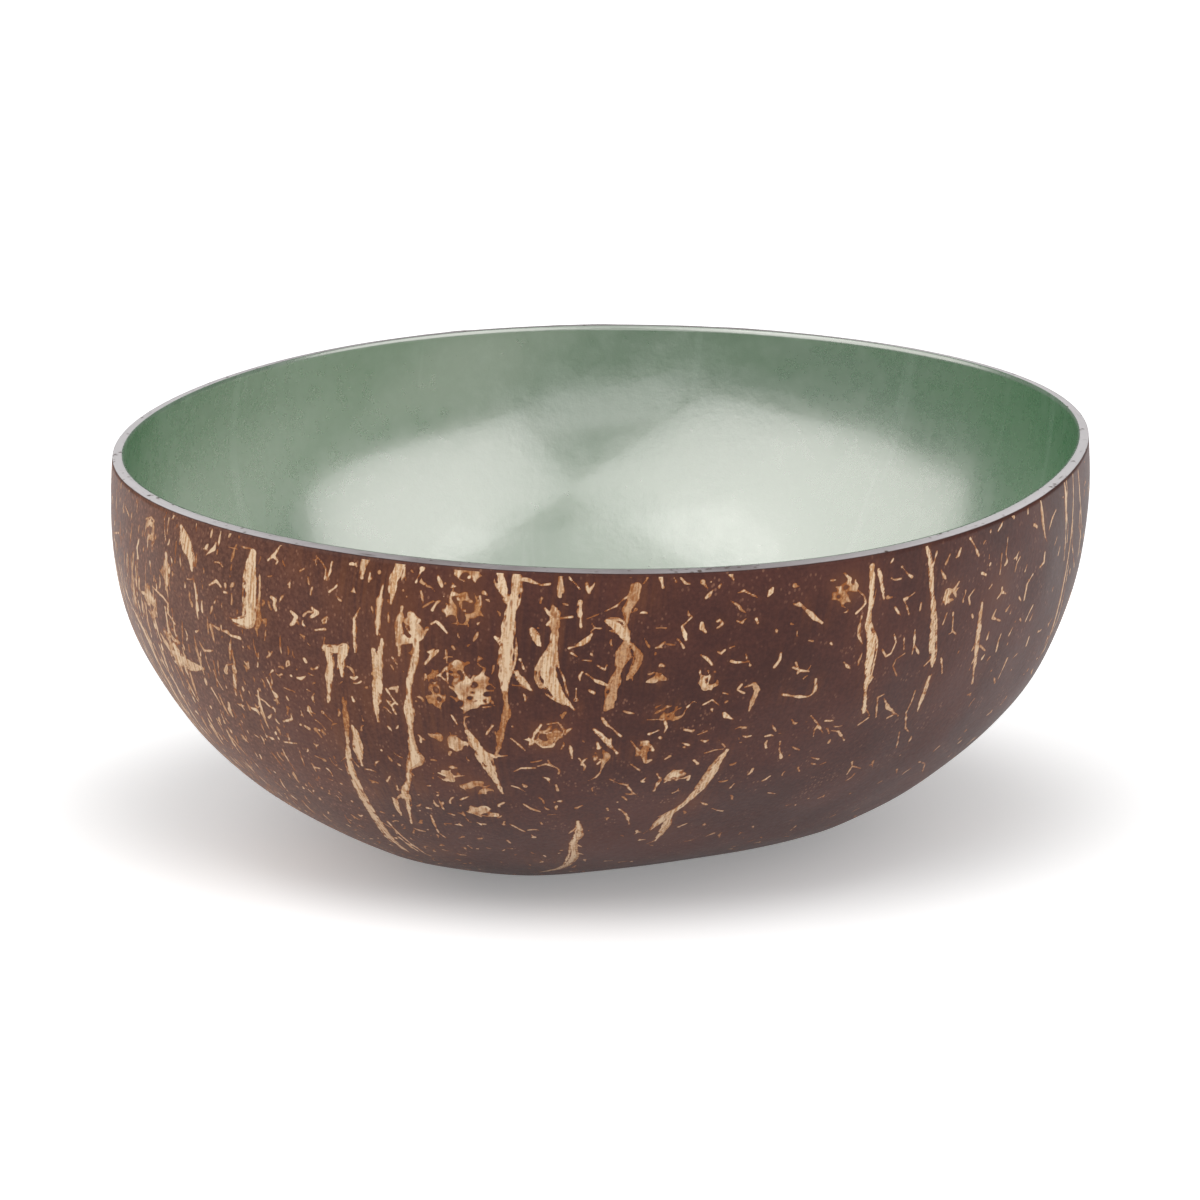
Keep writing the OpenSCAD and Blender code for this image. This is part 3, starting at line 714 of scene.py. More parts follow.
    (0.4, 959, 651, 2.5, -1, 2, 3), (0.3, 990, 657, 3, -3, 4, 3.5),
    (0.2, 1007, 659, 6, -4, 9, 5, -5, 11, 3), (0.3, 1017, 654, 3, -5, 5, 3), (0.2, 1020, 619, 5, 1, 2, 4),
    (0.3, 941, 658, 3, 1, 8, 5, 0, 7, 2), (0.2, 931, 659, 3, -7, 7, 5),
    (0.2, 1063, 497, 3, 4, 3, 3, -1, 9, 6, 2, 17, 3.5, -1, 16, 3), (0.2, 1065, 478, 4, 2, 9, 3, 0, 12, 3),
    (0.3, 1069, 561, 3, -3, 20, 4, -8, 37, 3, -8, 18, 3), (0.3, 1080, 511, 7, -1, 15, 4, 2, 12, 3.5),
    (0.3, 1073, 516, 3, -1, 29, 3, 2, 22, 2.5),
)


# brown clouds in the photograph: x and y, then reach in mm and strength
brownSpots = [
    (352, 590, 5, 0.55), (385, 600, 5, 0.5), (390, 645, 5, 0.55), (372, 700, 5, 0.5), (345, 690, 4, 0.4),
    (350, 740, 4, 0.5), (400, 700, 4, 0.5), (255, 612, 2.5, 0.6), (420, 650, 4, 0.4), (430, 720, 3.5, 0.4),
    (640, 600, 2.5, 0.35), (300, 560, 4, 0.3), (1000, 590, 3, 0.3), (560, 640, 3, 0.3), (410, 790, 4, 0.5),
    (430, 850, 4, 0.45), (370, 790, 4, 0.45), (690, 800, 3, 0.4), (540, 860, 4, 0.3),
]


fibreLook = {
    "cream": colour(238, 211, 178), "tan": colour(198, 146, 98), "rust": colour(150, 88, 44),
    "roughness": 0.5, "level": 0.2, "bump": 0.15, "bumpDepth": 0.0002,
    "around": 2304, "down": 446,   # cells of the map that the marks are drawn on, 0.2 mm wide
    "stainAround": 720, "stainDown": 150,   # cells of the map of stains
    "band": 0.14, "proud": 0.012, "sunk": 0.02,  # a mark's soft edge, and how far it stands out or in, in mm
    "deep": 0.3, "pointed": 3.5,   # depth of their bodies, and size below which these taper
    "flecks": 2300, "apart": 0.8,   # apart: side of the cubes that only one mark may cross
    "flankFibres": 400, "flankAt": 202, "flankWide": 11,   # in degrees round the nut
    "seenWidth": 0.76, "leastSeen": 0.17,   # traced flecks: share of the width seen, and least width in mm
    "lowest": 0.0008, "lean": 0.9, "flankLean": 0.2,   # scattered ones: height in metres, spread in radians
    "seed": 7,
}
strandKind, tangleKind, fleckKind = 0, 1, 2
insideAt, toneAt, kindAt, islandAt = 2, 3, 4, 5   # a table's columns, after bearing and angle
noMark = -9.0   # the depth in mm where no mark is


def cubesOf(path):
    # the cubes of space that a path's points lie in
    places = outsidePoint(path[:, 0], path[:, 1]) / mm / fibreLook["apart"]
    return set(map(tuple, np.floor(places).astype(int)))


# a web's threads: half width, its variation, how open the web is and how it fades from near its edge, in mm
laceLook = {"half": 0.24, "varied": 0.15, "open": 0.36, "fade": 0.9, "fadeFrom": 0.8, "shaded": 0.45}
laceWaves = ((1, 3.6, 1.2), (1, 5.0, 1.6), (1, 4.0, 1.0))   # of its weave, thickness and tone


class MarkMap(WallMap):
    # the fibre marks: at each place how deep inside a mark it lies, in mm, and that mark's tone and kind
    def __init__(self, around, down):
        super().__init__(around, down)
        self.inside = np.full((down, around), noMark)
        self.tone = np.zeros((down, around))
        self.kind = np.full((down, around), fleckKind)
        self.strokes, self.taken = [], set()

    def stroke(self, path, halves, tone, kind):
        # path holds (bearing, angle) in radians, halves is in mm, tone goes from cream 0 to rust 1
        path = np.asarray(path, float)
        self.strokes.append((path, np.asarray(halves, float), np.zeros(len(path)) + tone, kind))
        self.taken |= cubesOf(path)

    def isFree(self, path):
        return not (cubesOf(path) & self.taken)

    def draw(self):
        for path, halves, tones, kind in self.strokes:
            places = outsidePoint(path[:, 0], path[:, 1]) / mm
            cells = self.cell(path[:, 0], path[:, 1])
            for k in range(len(path) - 1):
                self.segment(places[k:k + 2], cells[k:k + 2], halves[k:k + 2], tones[k:k + 2], kind)
        self.inside[[0, 1, -2, -1]] = noMark   # marks are cut off at the rim and the foot

    def segment(self, places, cells, halves, tones, kind):
        area = self.near(cells[0], cells[1], halves.max() + 2 * fibreLook["band"])
        if area is None:
            return
        line, near = places[1] - places[0], self.place[area] - places[0]
        along = np.clip(near @ line / max(line @ line, 1e-9), 0, 1)
        away = np.linalg.norm(near - along[..., None] * line, axis=-1)
        depth = halves[0] + (halves[1] - halves[0]) * along - away
        self.put(area, depth, tones[0] + (tones[1] - tones[0]) * along, kind)

    def put(self, area, depth, tone, kind):
        # where marks overlap, each place goes to the one it lies deepest in
        better = depth > self.inside[area]
        self.inside[area] = np.where(better, depth, self.inside[area])
        self.tone[area] = np.where(better, tone, self.tone[area])
        self.kind[area] = np.where(better, kind, self.kind[area])

    def lace(self, place, wide, tall, tone, seed):
        # a net of fibres cut at a shallow angle: it follows the lines on which a random field is zero
        cell, centre = self.cell(*place), outsidePoint(*np.array(place)) / mm
        area = self.near(cell, cell, max(wide, tall) * 0.75)
        if area is None:
            return
        spots = self.place[area]
        across = (spots - centre) @ np.array([-math.sin(place[0]), math.cos(place[0]), 0])
        up = np.sqrt(np.maximum(0, ((spots - centre) ** 2).sum(axis=-1) - across ** 2))
        out = np.hypot(across * 2 / wide, up * 2 / tall)
        weave, thick, shade = (Ripple(seed + k, *waves).at(spots) for k, waves in enumerate(laceWaves))
        fading = laceLook["fade"] * np.maximum(0, out - laceLook["fadeFrom"])
        depth = laceLook["half"] + laceLook["varied"] * thick - laceLook["open"] * abs(weave) - fading
        self.put(area, depth, np.clip(tone + laceLook["shaded"] * shade, 0, 1), tangleKind)

    def roughen(self, ripple):
        drawn = self.inside > -2 * fibreLook["band"]
        self.inside[drawn] += ripple.at(self.place[drawn] * mm) / mm

    def islands(self, drawn):
        # numbers each patch of drawn cells that touch, by passing on the lowest number
        size = drawn.size
        number = np.where(drawn, np.arange(size).reshape(drawn.shape), size)
        while True:
            low = np.minimum(number, np.minimum(np.roll(number, 1, 1), np.roll(number, -1, 1)))
            low[1:] = np.minimum(low[1:], low[:-1])
            low[:-1] = np.minimum(low[:-1], low[1:])
            low = np.where(drawn, low, size)
            low[drawn] = low.ravel()[low[drawn]]
            if (low == number).all():
                return low
            number = low

    def outlined(self):
        # the drawn part as a mesh: a table of its points and a list of its faces
        height = self.inside + fibreLook["band"]
        drawn = height > 0
        island = self.islands(drawn)
        below = np.vstack([drawn[1:], drawn[-1:]])
        corner, across, downward = (np.full(drawn.shape, -1) for _ in range(3))
        rows, count = [], 0
        beside = np.roll(drawn, -1, 1)
        for index, chosen, step in ((corner, drawn, (0, 0)), (across, drawn != beside, (0, 1)),
                                    (downward, drawn != below, (1, 0))):
            i, j = np.nonzero(chosen)
            index[i, j] = count + np.arange(len(i))
            count += len(i)
            other = (i + step[0], (j + step[1]) % self.around)
            owner = tuple(np.where(drawn[i, j], here, there) for here, there in zip((i, j), other))
            if index is corner:
                share, inside = np.zeros(len(i)), self.inside[i, j]
            else:
                share = height[i, j] / (height[i, j] - height[other])
                inside = np.full(len(i), -fibreLook["band"])
            bearing = (j + share * step[1]) / self.around * 2 * math.pi
            angle = self.top + (self.foot - self.top) * (i + share * step[0]) / (self.down - 1)
            own = [layer[owner] for layer in (self.tone, self.kind, island)]
            rows.append(np.stack([bearing, angle, inside, *own], -1))
        # each cell's outline goes round its corners and the crossings on its sides
        code = sum(np.roll(drawn, -side, 1)[lower:self.down - 1 + lower].astype(int) << bit
                   for bit, (lower, side) in enumerate(((0, 0), (0, 1), (1, 1), (1, 0))))
        faces = []
        for kind in range(1, 16):
            i, j = np.nonzero(code == kind)
            after = (j + 1) % self.around
            corners = ((corner, i, j), (corner, i, after), (corner, i + 1, after), (corner, i + 1, j))
            sides = ((across, i, j), (downward, i, after), (across, i + 1, j), (downward, i, j))
            loop = []
            for bit in range(4):
                isIn, nextIn = kind >> bit & 1, kind >> (bit + 1) % 4 & 1
                loop += [corners[bit]] * isIn + [sides[bit]] * (isIn != nextIn)
            faces += np.stack([index[a, b] for index, a, b in loop], -1)[:, ::-1].tolist()
        return np.concatenate(rows), faces


def closedBelow(table, faces):
    # gives the marks a body in the shell: small ones taper to a point, large ones get a second sheet
    band, proud, sunk = fibreLook["band"], fibreLook["proud"], fibreLook["sunk"]
    lift = np.clip((table[:, insideAt] + band) / band, 0, 1) * (proud + sunk) - sunk
    top = outsidePoint(table[:, 0], table[:, 1], lift * mm)
    names, island = np.unique(table[:, islandAt], return_inverse=True)
    low, high = np.full((len(names), 3), math.inf), np.full((len(names), 3), -math.inf)
    np.minimum.at(low, island, top)
    np.maximum.at(high, island, top)
    small = (high - low).max(axis=1) < fibreLook["pointed"] * mm
    middle = np.stack([np.bincount(island, top[:, k]) / np.bincount(island) for k in range(3)], -1)
    middle = middle - outOf(skinPoint, *wallPlace(middle)) * fibreLook["deep"] * mm
    under = outsidePoint(table[:, 0], table[:, 1], np.full(len(table), -fibreLook["deep"] * mm))
    underFirst = len(top) + len(names)
    below = np.where(small[island], len(top) + island, underFirst + np.arange(len(top))).tolist()
    small, island = small.tolist(), island.tolist()
    edges = [(a, b) for face in faces for a, b in zip(face, face[1:] + face[:1])]
    known = set(edges)
    body = []
    for a, b in edges:
        if (b, a) not in known:
            body.append((b, a, below[a]) if small[island[a]] else (b, a, below[a], below[b]))
    body += [[below[a] for a in face[::-1]] for face in faces if not small[island[face[0]]]]
    points = np.concatenate([top, middle, under])
    table = np.concatenate([table, np.zeros((len(names), 6)), table])
    table[len(top):underFirst, insideAt] = -band
    table[len(top):underFirst, kindAt] = fleckKind
    table[len(top):underFirst, islandAt] = names
    return points, table, faces + body


def onlyUsed(points, table, faces):
    # these faces alone, with the points they use and those points' rows
    used, index = np.unique(np.fromiter(chain.from_iterable(faces), int), return_inverse=True)
    ends = np.cumsum([len(face) for face in faces])
    index = index.tolist()
    return points[used], table[used], [index[end - len(face):end] for face, end in zip(faces, ends)]


def fibreFinish():
    made = Finish("paleFibre")
    base, grain = shellColour(made)
    inside, tone = made.attribute("inside"), made.attribute("tone")
    threads = made.noise(made.stretch(grain, (3000, 3000, 260)), scale=1, detail=3)
    mottle = made.noise(made.place(), scale=2600, detail=2)
    creamy = made.between(threads * 0.65 + mottle * 0.35, 0.37, 0.55)
    pale = made.mix(creamy, fibreLook["tan"], fibreLook["cream"])
    tanned = made.between(threads * 0.4 + mottle * 0.6, 0.4, 0.62)
    dull = made.mix(tanned, fibreLook["rust"], fibreLook["tan"])
    core = made.mix(tone + (mottle - 0.5) * 0.5, pale, dull)
    lines = made.between(made.noise(made.stretch(grain, (2200, 2200, 150)), scale=1, detail=2), 0.58, 0.66)
    pits = made.spots(made.stretch(grain, (1, 1, 0.4)), 900, 0.1, 0.26)
    darker = (lines * 0.7 + pits) * made.between(inside, 0.1, 0.26) * 0.7   # only well inside a mark
    core = made.mix(darker, core, fibreLook["rust"])
    depth = inside + (mottle - 0.5) * 0.1
    rim = made.mix(made.between(depth, -fibreLook["band"], -0.08), base, fibreLook["rust"])
    return made.shine(baseColour=made.mix(made.between(depth, -0.03, 0.09), rim, core),
                      roughness=fibreLook["roughness"], level=fibreLook["level"],
                      normal=made.bump(threads, fibreLook["bump"], fibreLook["bumpDepth"]))


def smoothLine(points, step):
    # a curve through the points, sampled about every step of the first two columns of its rows
    points = np.asarray(points, float)
    ends = np.vstack([2 * points[0] - points[1], points, 2 * points[-1] - points[-2]])
    line = []
    for k in range(1, len(ends) - 2):
        a, b, c, d = ends[k - 1:k + 3]
        count = max(1, int(round(np.linalg.norm(c[:2] - b[:2]) / step)))
        for t in np.arange(count) / count:
            line.append(0.5 * (2 * b + (c - a) * t + (2 * a - 5 * b + 4 * c - d) * t ** 2
                               + (3 * b - a - 3 * c + d) * t ** 3))
    line.append(points[-1])
    return np.array(line)


strandLook = {
    "sampled": 0.5, "least": 0.16, "core": 0.42,   # mm between samples, least width, and the core's share
    "threads": 2, "threadEvery": 0.5,   # threads beside the core, and the width that adds one
    "whiskerEvery": 6, "whiskerTone": 0.3,   # mm for each whisker, and how much browner it is
}


def addStrand(marks, stains, rows, tone, pick):
    # rows hold bearing and angle in radians and width in mm; a smooth core with side threads and whiskers
    rows = np.asarray(rows, float)
    rows[:, 0] = np.unwrap(rows[:, 0])
    scale = np.array([70.0, 70.0, 1.0])   # about a mm a unit, so that the curve is sampled evenly
    line = smoothLine(rows * scale, strandLook["sampled"]) / scale
    path, widths = line[:, :2], np.maximum(line[:, 2], strandLook["least"])
    mmOf = np.stack(spans(path[:, 0], path[:, 1]), -1) / mm
    way = np.gradient(path, axis=0) * mmOf
    way /= np.linalg.norm(way, axis=1, keepdims=True) + 1e-12
    side = np.stack([way[:, 1], -way[:, 0]], -1)
    rough = np.array([pick.uniform(0.92, 1.05) for _ in path])
    marks.stroke(path, widths * strandLook["core"] * rough, tone, strandKind)
    addThreads(marks, path, widths, side, mmOf, tone, pick)
    addWhiskers(marks, path, widths, way, side, mmOf, tone, pick)
    stains.soak("halo", path, 0.7 + 0.4 * widths.max(), 0.85)
    stains.soak("halo", path[::3], 3.0, 0.3)


def addThreads(marks, path, widths, side, mmOf, tone, pick):
    # thin threads that wander along a strand's sides
    along, widest, count = np.linspace(0, 1, len(path)), widths.max(), len(path)
    for _ in range(strandLook["threads"] + int(widest / strandLook["threadEvery"])):
        first, last = sorted((pick.randrange(count), pick.randrange(count)))
        if widest > 0.5 and last - first < count // 3:
            first, last = pick.randrange(1 + count // 4), count - pick.randrange(1 + count // 4)
        if last - first < 3:
            continue
        shift = pick.choice((-1, 1)) * pick.uniform(0.35, 0.62)
        shift = shift + 0.16 * np.sin(along * pick.uniform(3, 12) + pick.uniform(0, 6))
        halves = pick.uniform(0.09, 0.17) * np.sin(np.linspace(0.25, 2.9, last - first)) ** 0.5
        thread = path + side * (shift * widths)[:, None] / mmOf
        marks.stroke(thread[first:last], halves, min(1, tone + pick.choice((0.0, 0.1, 0.5))), strandKind)


def addWhiskers(marks, path, widths, way, side, mmOf, tone, pick):
    # short ones that leave the core at a small angle
    for _ in range(int(len(path) * strandLook["sampled"] / strandLook["whiskerEvery"])):
        at = pick.randrange(len(path))
        turn = pick.uniform(0.2, 0.7) * pick.choice((-1, 1))
        long = pick.uniform(0.7, 2.2)
        start = path[at] + side[at] * widths[at] * 0.4 * np.sign(turn) / mmOf[at]
        lean = (way[at] * math.cos(turn) + side[at] * math.sin(turn)) * pick.choice((-1, 1))
        whisker = start + np.outer((0, 0.5, 1), lean * long / mmOf[at])
        marks.stroke(whisker, (0.12, 0.1, 0.06), min(1, tone + strandLook["whiskerTone"]), strandKind)


# the kinds of fleck: strokes of points across and up the wall with their widths, all in mm
def dash(pick):
    long, wide, bend = pick.uniform(0.6, 2.4), pick.uniform(0.2, 0.42), pick.uniform(-0.2, 0.2)
    return [[(t * long, bend * long * (1 - 4 * t * t), wide * w)
             for t, w in ((-0.5, 0.4), (-0.25, 0.9), (0.05, 1.0), (0.3, 0.8), (0.5, 0.3))]]


def seed(pick):
    long, wide = pick.uniform(0.5, 1.1), pick.uniform(0.4, 0.7)
    return [[(-long / 2, 0, wide * 0.4), (-0.1, 0.03, wide), (long / 2, 0, wide * 0.35)]]


def tadpole(pick):
    long, wide, bend = pick.uniform(0.8, 2.2), pick.uniform(0.45, 0.75), pick.uniform(-0.3, 0.3)
    return [[(t * long, bend * long * t * t, wide * w)
             for t, w in ((0, 0.6), (0.1, 1.0), (0.28, 0.75), (0.55, 0.45), (1.0, 0.2))]]


def fork(pick):
    strokes, start = [], pick.uniform(0, 2 * math.pi)
    for k in range(3):
        way = start + k * 2.1 + pick.uniform(-0.5, 0.5)
        long, bend = pick.uniform(0.4, 1.3), pick.uniform(-0.3, 0.3)
        strokes.append([(t * long * math.cos(way + bend * t), t * long * math.sin(way + bend * t), w)
                        for t, w in ((0, 0.45), (0.3, 0.36), (0.6, 0.3), (1.0, 0.18))])
    return strokes


def hook(pick):
    long, wide = pick.uniform(0.6, 1.7), pick.uniform(0.22, 0.4)
    turn = pick.uniform(0.8, 2.0) * pick.choice((-1, 1))
    end = (long + 0.6 * math.cos(turn), 0.6 * math.sin(turn))
    return [[(0, 0, wide * 0.5), (long * 0.4, 0.05, wide), (long * 0.85, 0, wide * 1.2),
             ((long + end[0]) / 2 + 0.06, end[1] / 2, wide * 1.1), (*end, wide * 0.5)]]


def curl(pick):
    long, bend, back = pick.uniform(1.8, 4.0), pick.uniform(-0.3, 0.3), pick.uniform(-0.3, 0.3)
    line = pick.uniform(0.16, 0.28)
    return [[(t * long, long * (bend * t * (1 - t) * 2 + back * math.sin(6 * t) * 0.3),
              line * (1 - 0.5 * abs(2 * t - 1)))
             for t in [k / 7 for k in range(8)]]]


def key(pick):
    ring, long, line = pick.uniform(0.18, 0.28), pick.uniform(0.6, 2.0), pick.uniform(0.2, 0.28)
    loop = [(ring * math.cos(a), ring * math.sin(a), line) for a in [k * math.pi / 4 for k in range(9)]]
    stem = [(ring, 0, line), (ring + long * 0.6, 0.1, line * 0.9), (ring + long, 0.1 * long, line * 0.7)]
    return [loop, stem]


def dot(pick):
    long = pick.uniform(0.15, 0.45)
    return [[(-long / 2, 0, 0.2), (0, 0, pick.uniform(0.26, 0.42)), (long / 2, 0, 0.18)]]


def bow(long, bend, line, taper):
    return [(t * long, bend * long * (1 - 4 * t * t), line * (1.1 - taper * abs(t)))
            for t in (-0.5, -0.3, -0.1, 0.1, 0.3, 0.5)]


def thread(pick):
    long, line, bend = pick.uniform(1.5, 5.0), pick.uniform(0.18, 0.4), pick.uniform(-0.05, 0.05)
    return [bow(long, bend, line, 1.4)]


def tangledPair(pick):
    return fork(pick) + dash(pick)


# how often each kind comes up on the dusty flank, and elsewhere
flankKinds = {thread: 5, dash: 5, seed: 1, tangledPair: 2}
otherKinds = {dash: 34, seed: 9, tadpole: 10, fork: 12, hook: 12, curl: 6, key: 7, dot: 22}
leastWidth = 0.15   # mm


def onWall(strokes, place, lean, size=1.0):
    # strokes in mm, turned by lean and laid on the wall at a place
    around, down = spans(*place)
    for stroke in strokes:
        x, y, width = np.array(stroke).T * size
        across = x * math.cos(lean) - y * math.sin(lean)
        up = x * math.sin(lean) + y * math.cos(lean)
        path = np.stack([place[0] + across * mm / around, place[1] - up * mm / down], -1)
        yield path, np.maximum(width, leastWidth) / 2


class Tracer:
    # finds the place on the shell's wall that the photograph shows at a pixel
    def __init__(self, shell, camera):
        corners = [vertex.co for vertex in shell.data.vertices]
        self.tree = BVHTree.FromPolygons(corners, [face.vertices for face in shell.data.polygons])
        bpy.context.view_layer.update()
        self.eye, self.turn = camera.matrix_world.translation.copy(), camera.matrix_world.to_3x3()

    def at(self, x, y):
        size, sensor = view["photoSize"], view["sensor"]
        right, up = (x - size / 2) / size * sensor, (size / 2 - y) / size * sensor
        ray = self.turn @ Vector((right, up, -view["lens"]))
        hit = self.tree.ray_cast(self.eye, ray.normalized())[0]
        if hit is None:
            return None
        height = min(max(hit.z, view["lowest"]), cutHeight)
        return math.atan2(hit.y, hit.x - middleAt(height)), float(angleAt(height))

    def rows(self, stroke):
        # bearing, angle and width in mm of each point of a traced stroke
        points = np.reshape(stroke, (-1, 3))
        places = [self.at(x, y) for x, y in np.cumsum(points[:, :2], axis=0).tolist()]
        return [(*place, tenths / 10) for place, tenths in zip(places, points[:, 2].tolist()) if place]


def traceMarks(marks, stains, tracer, pick):
    for lines, low, high in ((strands, 0.0, 0.25), (brownStrands, 0.65, 0.85), (rustLines, 1.0, 1.0)):
        for stroke in lines.values():
            rows = tracer.rows(stroke)
            if len(rows) > 1:
                addStrand(marks, stains, rows, pick.uniform(low, high), pick)
    for tone, *stroke in flecksSeen:
        rows = np.array(tracer.rows(stroke))
        if len(rows) > 1:
            rows[:, 0] = np.unwrap(rows[:, 0])
            widths = np.maximum(rows[:, 2] * fibreLook["seenWidth"], fibreLook["leastSeen"])
            marks.stroke(rows[:, :2], widths / 2, tone * pick.uniform(0.7, 1.3), fleckKind)
            stains.soak("halo", rows[:, :2], 0.7, 0.5)
    for x, y, wide, tall, brown in patches.values():
        addTangle(marks, stains, tracer.at(x, y), wide, tall, brown, pick)
    for x, y, reach, strength in brownSpots:
        stains.soak("stain", np.array([tracer.at(x, y)]), reach, strength)


def addTangle(marks, stains, place, wide, tall, brown, pick):
    marks.lace(place, wide, tall, brown, pick.randrange(1000))
    stains.soak("stain", np.array([place]), max(wide, tall) * 0.5, 0.35 + 0.65 * brown)


hidden = {   # the side that the photograph doesn't show; places in degrees round the nut
    "strands": 16, "from": 352, "over": 206, "widest": 1.4,   # the solid model's own strands
    "slimStrands": 16, "slimFrom": -14, "slimOver": 210,   # slimmer ones of the same habit
    "tangles": 24, "tanglesFrom": -12, "tanglesTo": 192,
}
solidWidths = ((0, 0.35), (0.15, 0.7), (0.35, 1.0), (0.6, 0.9), (0.85, 0.55), (1, 0.2))   # along a strand
slimWidths = ((0, 0.3), (0.25, 0.9), (0.5, 1.0), (0.8, 0.6), (1, 0.2))


def partOf(i):
    # the spread that the solid model uses, 0 to 1
    return i * 0.618 - math.floor(i * 0.618)


def addHiddenStrands(marks, stains, pick):
    for i in range(hidden["strands"]):
        bearing = hidden["from"] + hidden["over"] * (i + 0.5) / hidden["strands"]
        top, long = 0.45 + 0.48 * partOf(i), 0.16 + 0.2 * partOf(i + 3)
        width = hidden["widest"] * (0.6 + 0.7 * partOf(i + 2))
        rows = []
        for t, w in solidWidths:
            turn = bearing + 2 * t + partOf(i + 1) * math.sin(math.pi * t)
            rows.append((math.radians(turn), float(angleAt(nut["height"] * (top - long * t))), width * w))
        addStrand(marks, stains, rows, pick.uniform(0.0, 0.3), pick)
    for k in range(hidden["slimStrands"]):
        spot = hidden["slimOver"] * (k + pick.uniform(0.2, 0.8)) / hidden["slimStrands"]
        bearing = math.radians(hidden["slimFrom"] + spot)
        top, long, widest = pick.uniform(0.3, 1.0), pick.uniform(0.1, 0.32), pick.uniform(0.4, 1.2)
        rows = []
        for t, w in slimWidths:
            turn = bearing + pick.uniform(-0.006, 0.006)
            angle = float(angleAt(nut["height"] * max(0.02, top - long * t)))
            rows.append((turn, angle, widest * w * pick.uniform(0.7, 1.2)))
        addStrand(marks, stains, rows, pick.uniform(0.0, 0.5), pick)
    for _ in range(hidden["tangles"]):
        bearing = math.radians(pick.uniform(hidden["tanglesFrom"], hidden["tanglesTo"]))
        place = (bearing, pick.uniform(0.05, 1.05))
        addTangle(marks, stains, place, pick.uniform(2, 5), pick.uniform(2, 6), pick.uniform(0.3, 0.9), pick)


# how thick the scattered flecks lie, and where few are needed because those seen are traced
crowding = {"even": 0.42, "dusty": 0.34, "waves": 0.12, "fewer": 0.82, "fewerAt": 308, "fewerWide": 56}


def crowdAt(bearing, angle):
    crowd = crowding["even"] + crowding["dusty"] * math.cos(bearing - math.radians(shellLook["dustAndSheenAt"]))
    crowd += crowding["waves"] * math.sin(3 * bearing + 4 * angle)
    away = (math.degrees(bearing) - crowding["fewerAt"]) / crowding["fewerWide"]
    return crowd * (1 - crowding["fewer"] * math.exp(-away ** 2))


def scatterFlecks(marks, stains, pick):
    lowest, placed = angleAt(fibreLook["lowest"]), 0
    while placed < fibreLook["flecks"]:
        place = (pick.uniform(0, 2 * math.pi), pick.uniform(float(marks.top), float(lowest)))
        narrow = math.cos(place[1]) ** 0.95
        if pick.random() > narrow * crowdAt(*place):
            continue
        onFlank = dustAndSheenOn(place[0]) > 0.4 + 0.4 * pick.random()
        spread = fibreLook["flankLean" if onFlank else "lean"]
        lean = math.pi / 2 + pick.gauss(0, spread) + math.pi * pick.choice((0, 1))
        kinds = flankKinds if onFlank else otherKinds
        size = pick.uniform(0.6, 1.0) * (0.62 + 0.38 * min(1, (1.15 - place[1]) / 0.7))   # smaller low down
        kind = pick.choices(list(kinds), list(kinds.values()))[0]
        strokes = list(onWall(kind(pick), place, lean, size))
        tone = pick.random() ** 1.2
        if all(marks.isFree(path) for path, _ in strokes):
            for path, halves in strokes:
                marks.stroke(path, halves, tone, fleckKind)
            stains.soak("halo", np.array([place]), 0.6, 0.4)
            placed += 1


def addFlankFibres(marks, stains, pick):
    # the flank on the left was ground deepest, and long fibres lie bare there, down to the foot
    for _ in range(fibreLook["flankFibres"]):
        bearing = math.radians(pick.gauss(fibreLook["flankAt"], fibreLook["flankWide"]))
        place = (bearing, pick.uniform(0.1, 1.2))
        long, wide = pick.uniform(1.5, 8) * pick.uniform(0.5, 1), pick.uniform(0.24, 0.62)
        stroke = bow(long, pick.uniform(-0.06, 0.06), wide, 1.5)
        for path, halves in onWall([stroke], place, math.pi / 2 + pick.gauss(0, 0.12)):
            marks.stroke(path, halves, pick.uniform(0.0, 0.7), fleckKind)
            stains.soak("halo", path, 0.8, 0.5)


def drawFibres(shell, camera):
    # every mark on the map, and the stains around them
    pick = random.Random(fibreLook["seed"])
    marks = MarkMap(fibreLook["around"], fibreLook["down"])
    stains = StainMap(fibreLook["stainAround"], fibreLook["stainDown"])
    traceMarks(marks, stains, Tracer(shell, camera), pick)
    addHiddenStrands(marks, stains, pick)
    addFlankFibres(marks, stains, pick)
    scatterFlecks(marks, stains, pick)
    marks.draw()
    marks.roughen(Ripple(seed=31, depth=0.00007, longest=0.003, shortest=0.0006))
    return marks, stains


def buildFibres(shell, camera):
    marks, stains = drawFibres(shell, camera)
    points, table, faces = closedBelow(*marks.outlined())
    names, island = np.unique(table[:, islandAt], return_inverse=True)
    group = np.full(len(names), fleckKind)
    np.minimum.at(group, island, table[:, kindAt].astype(int))
    group[(group == fleckKind) & (np.bincount(island, points[:, 1]) > 0)] += 1   # those on the back
    faceGroup = group[island[[face[0] for face in faces]]]
    finish, pieces = fibreFinish(), []
    for k, name in enumerate(("long_strands", "tangles", "front_flecks", "back_flecks")):
        chosen = [faces[n] for n in np.nonzero(faceGroup == k)[0]]
        own, rows, chosen = onlyUsed(points, table, chosen)
        piece = makePiece("fibre_" + name, own, chosen, finish)
        store(piece, "inside", "FLOAT", rows[:, insideAt])
        store(piece, "tone", "FLOAT", rows[:, toneAt])
        storeStains(piece, own, stains)
        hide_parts("fibre_strands")
        pieces.append(piece)
    storeStains(shell, np.array([vertex.co for vertex in shell.data.vertices]), stains)
    return pieces


view = {
    "lens": 181.6, "sensor": 36.0, "distance": 0.9, "rise": 15.5, "aim": (0.00225, 0.0, 0.0352),
    "photoSize": 1200,   # pixels a side
    "lowest": 0.0005,   # marks seen lower than this are drawn at this height
}


def aimAt(thing, aim):
    thing.rotation_euler = (Vector(aim) - thing.location).to_track_quat("-Z", "Y").to_euler()


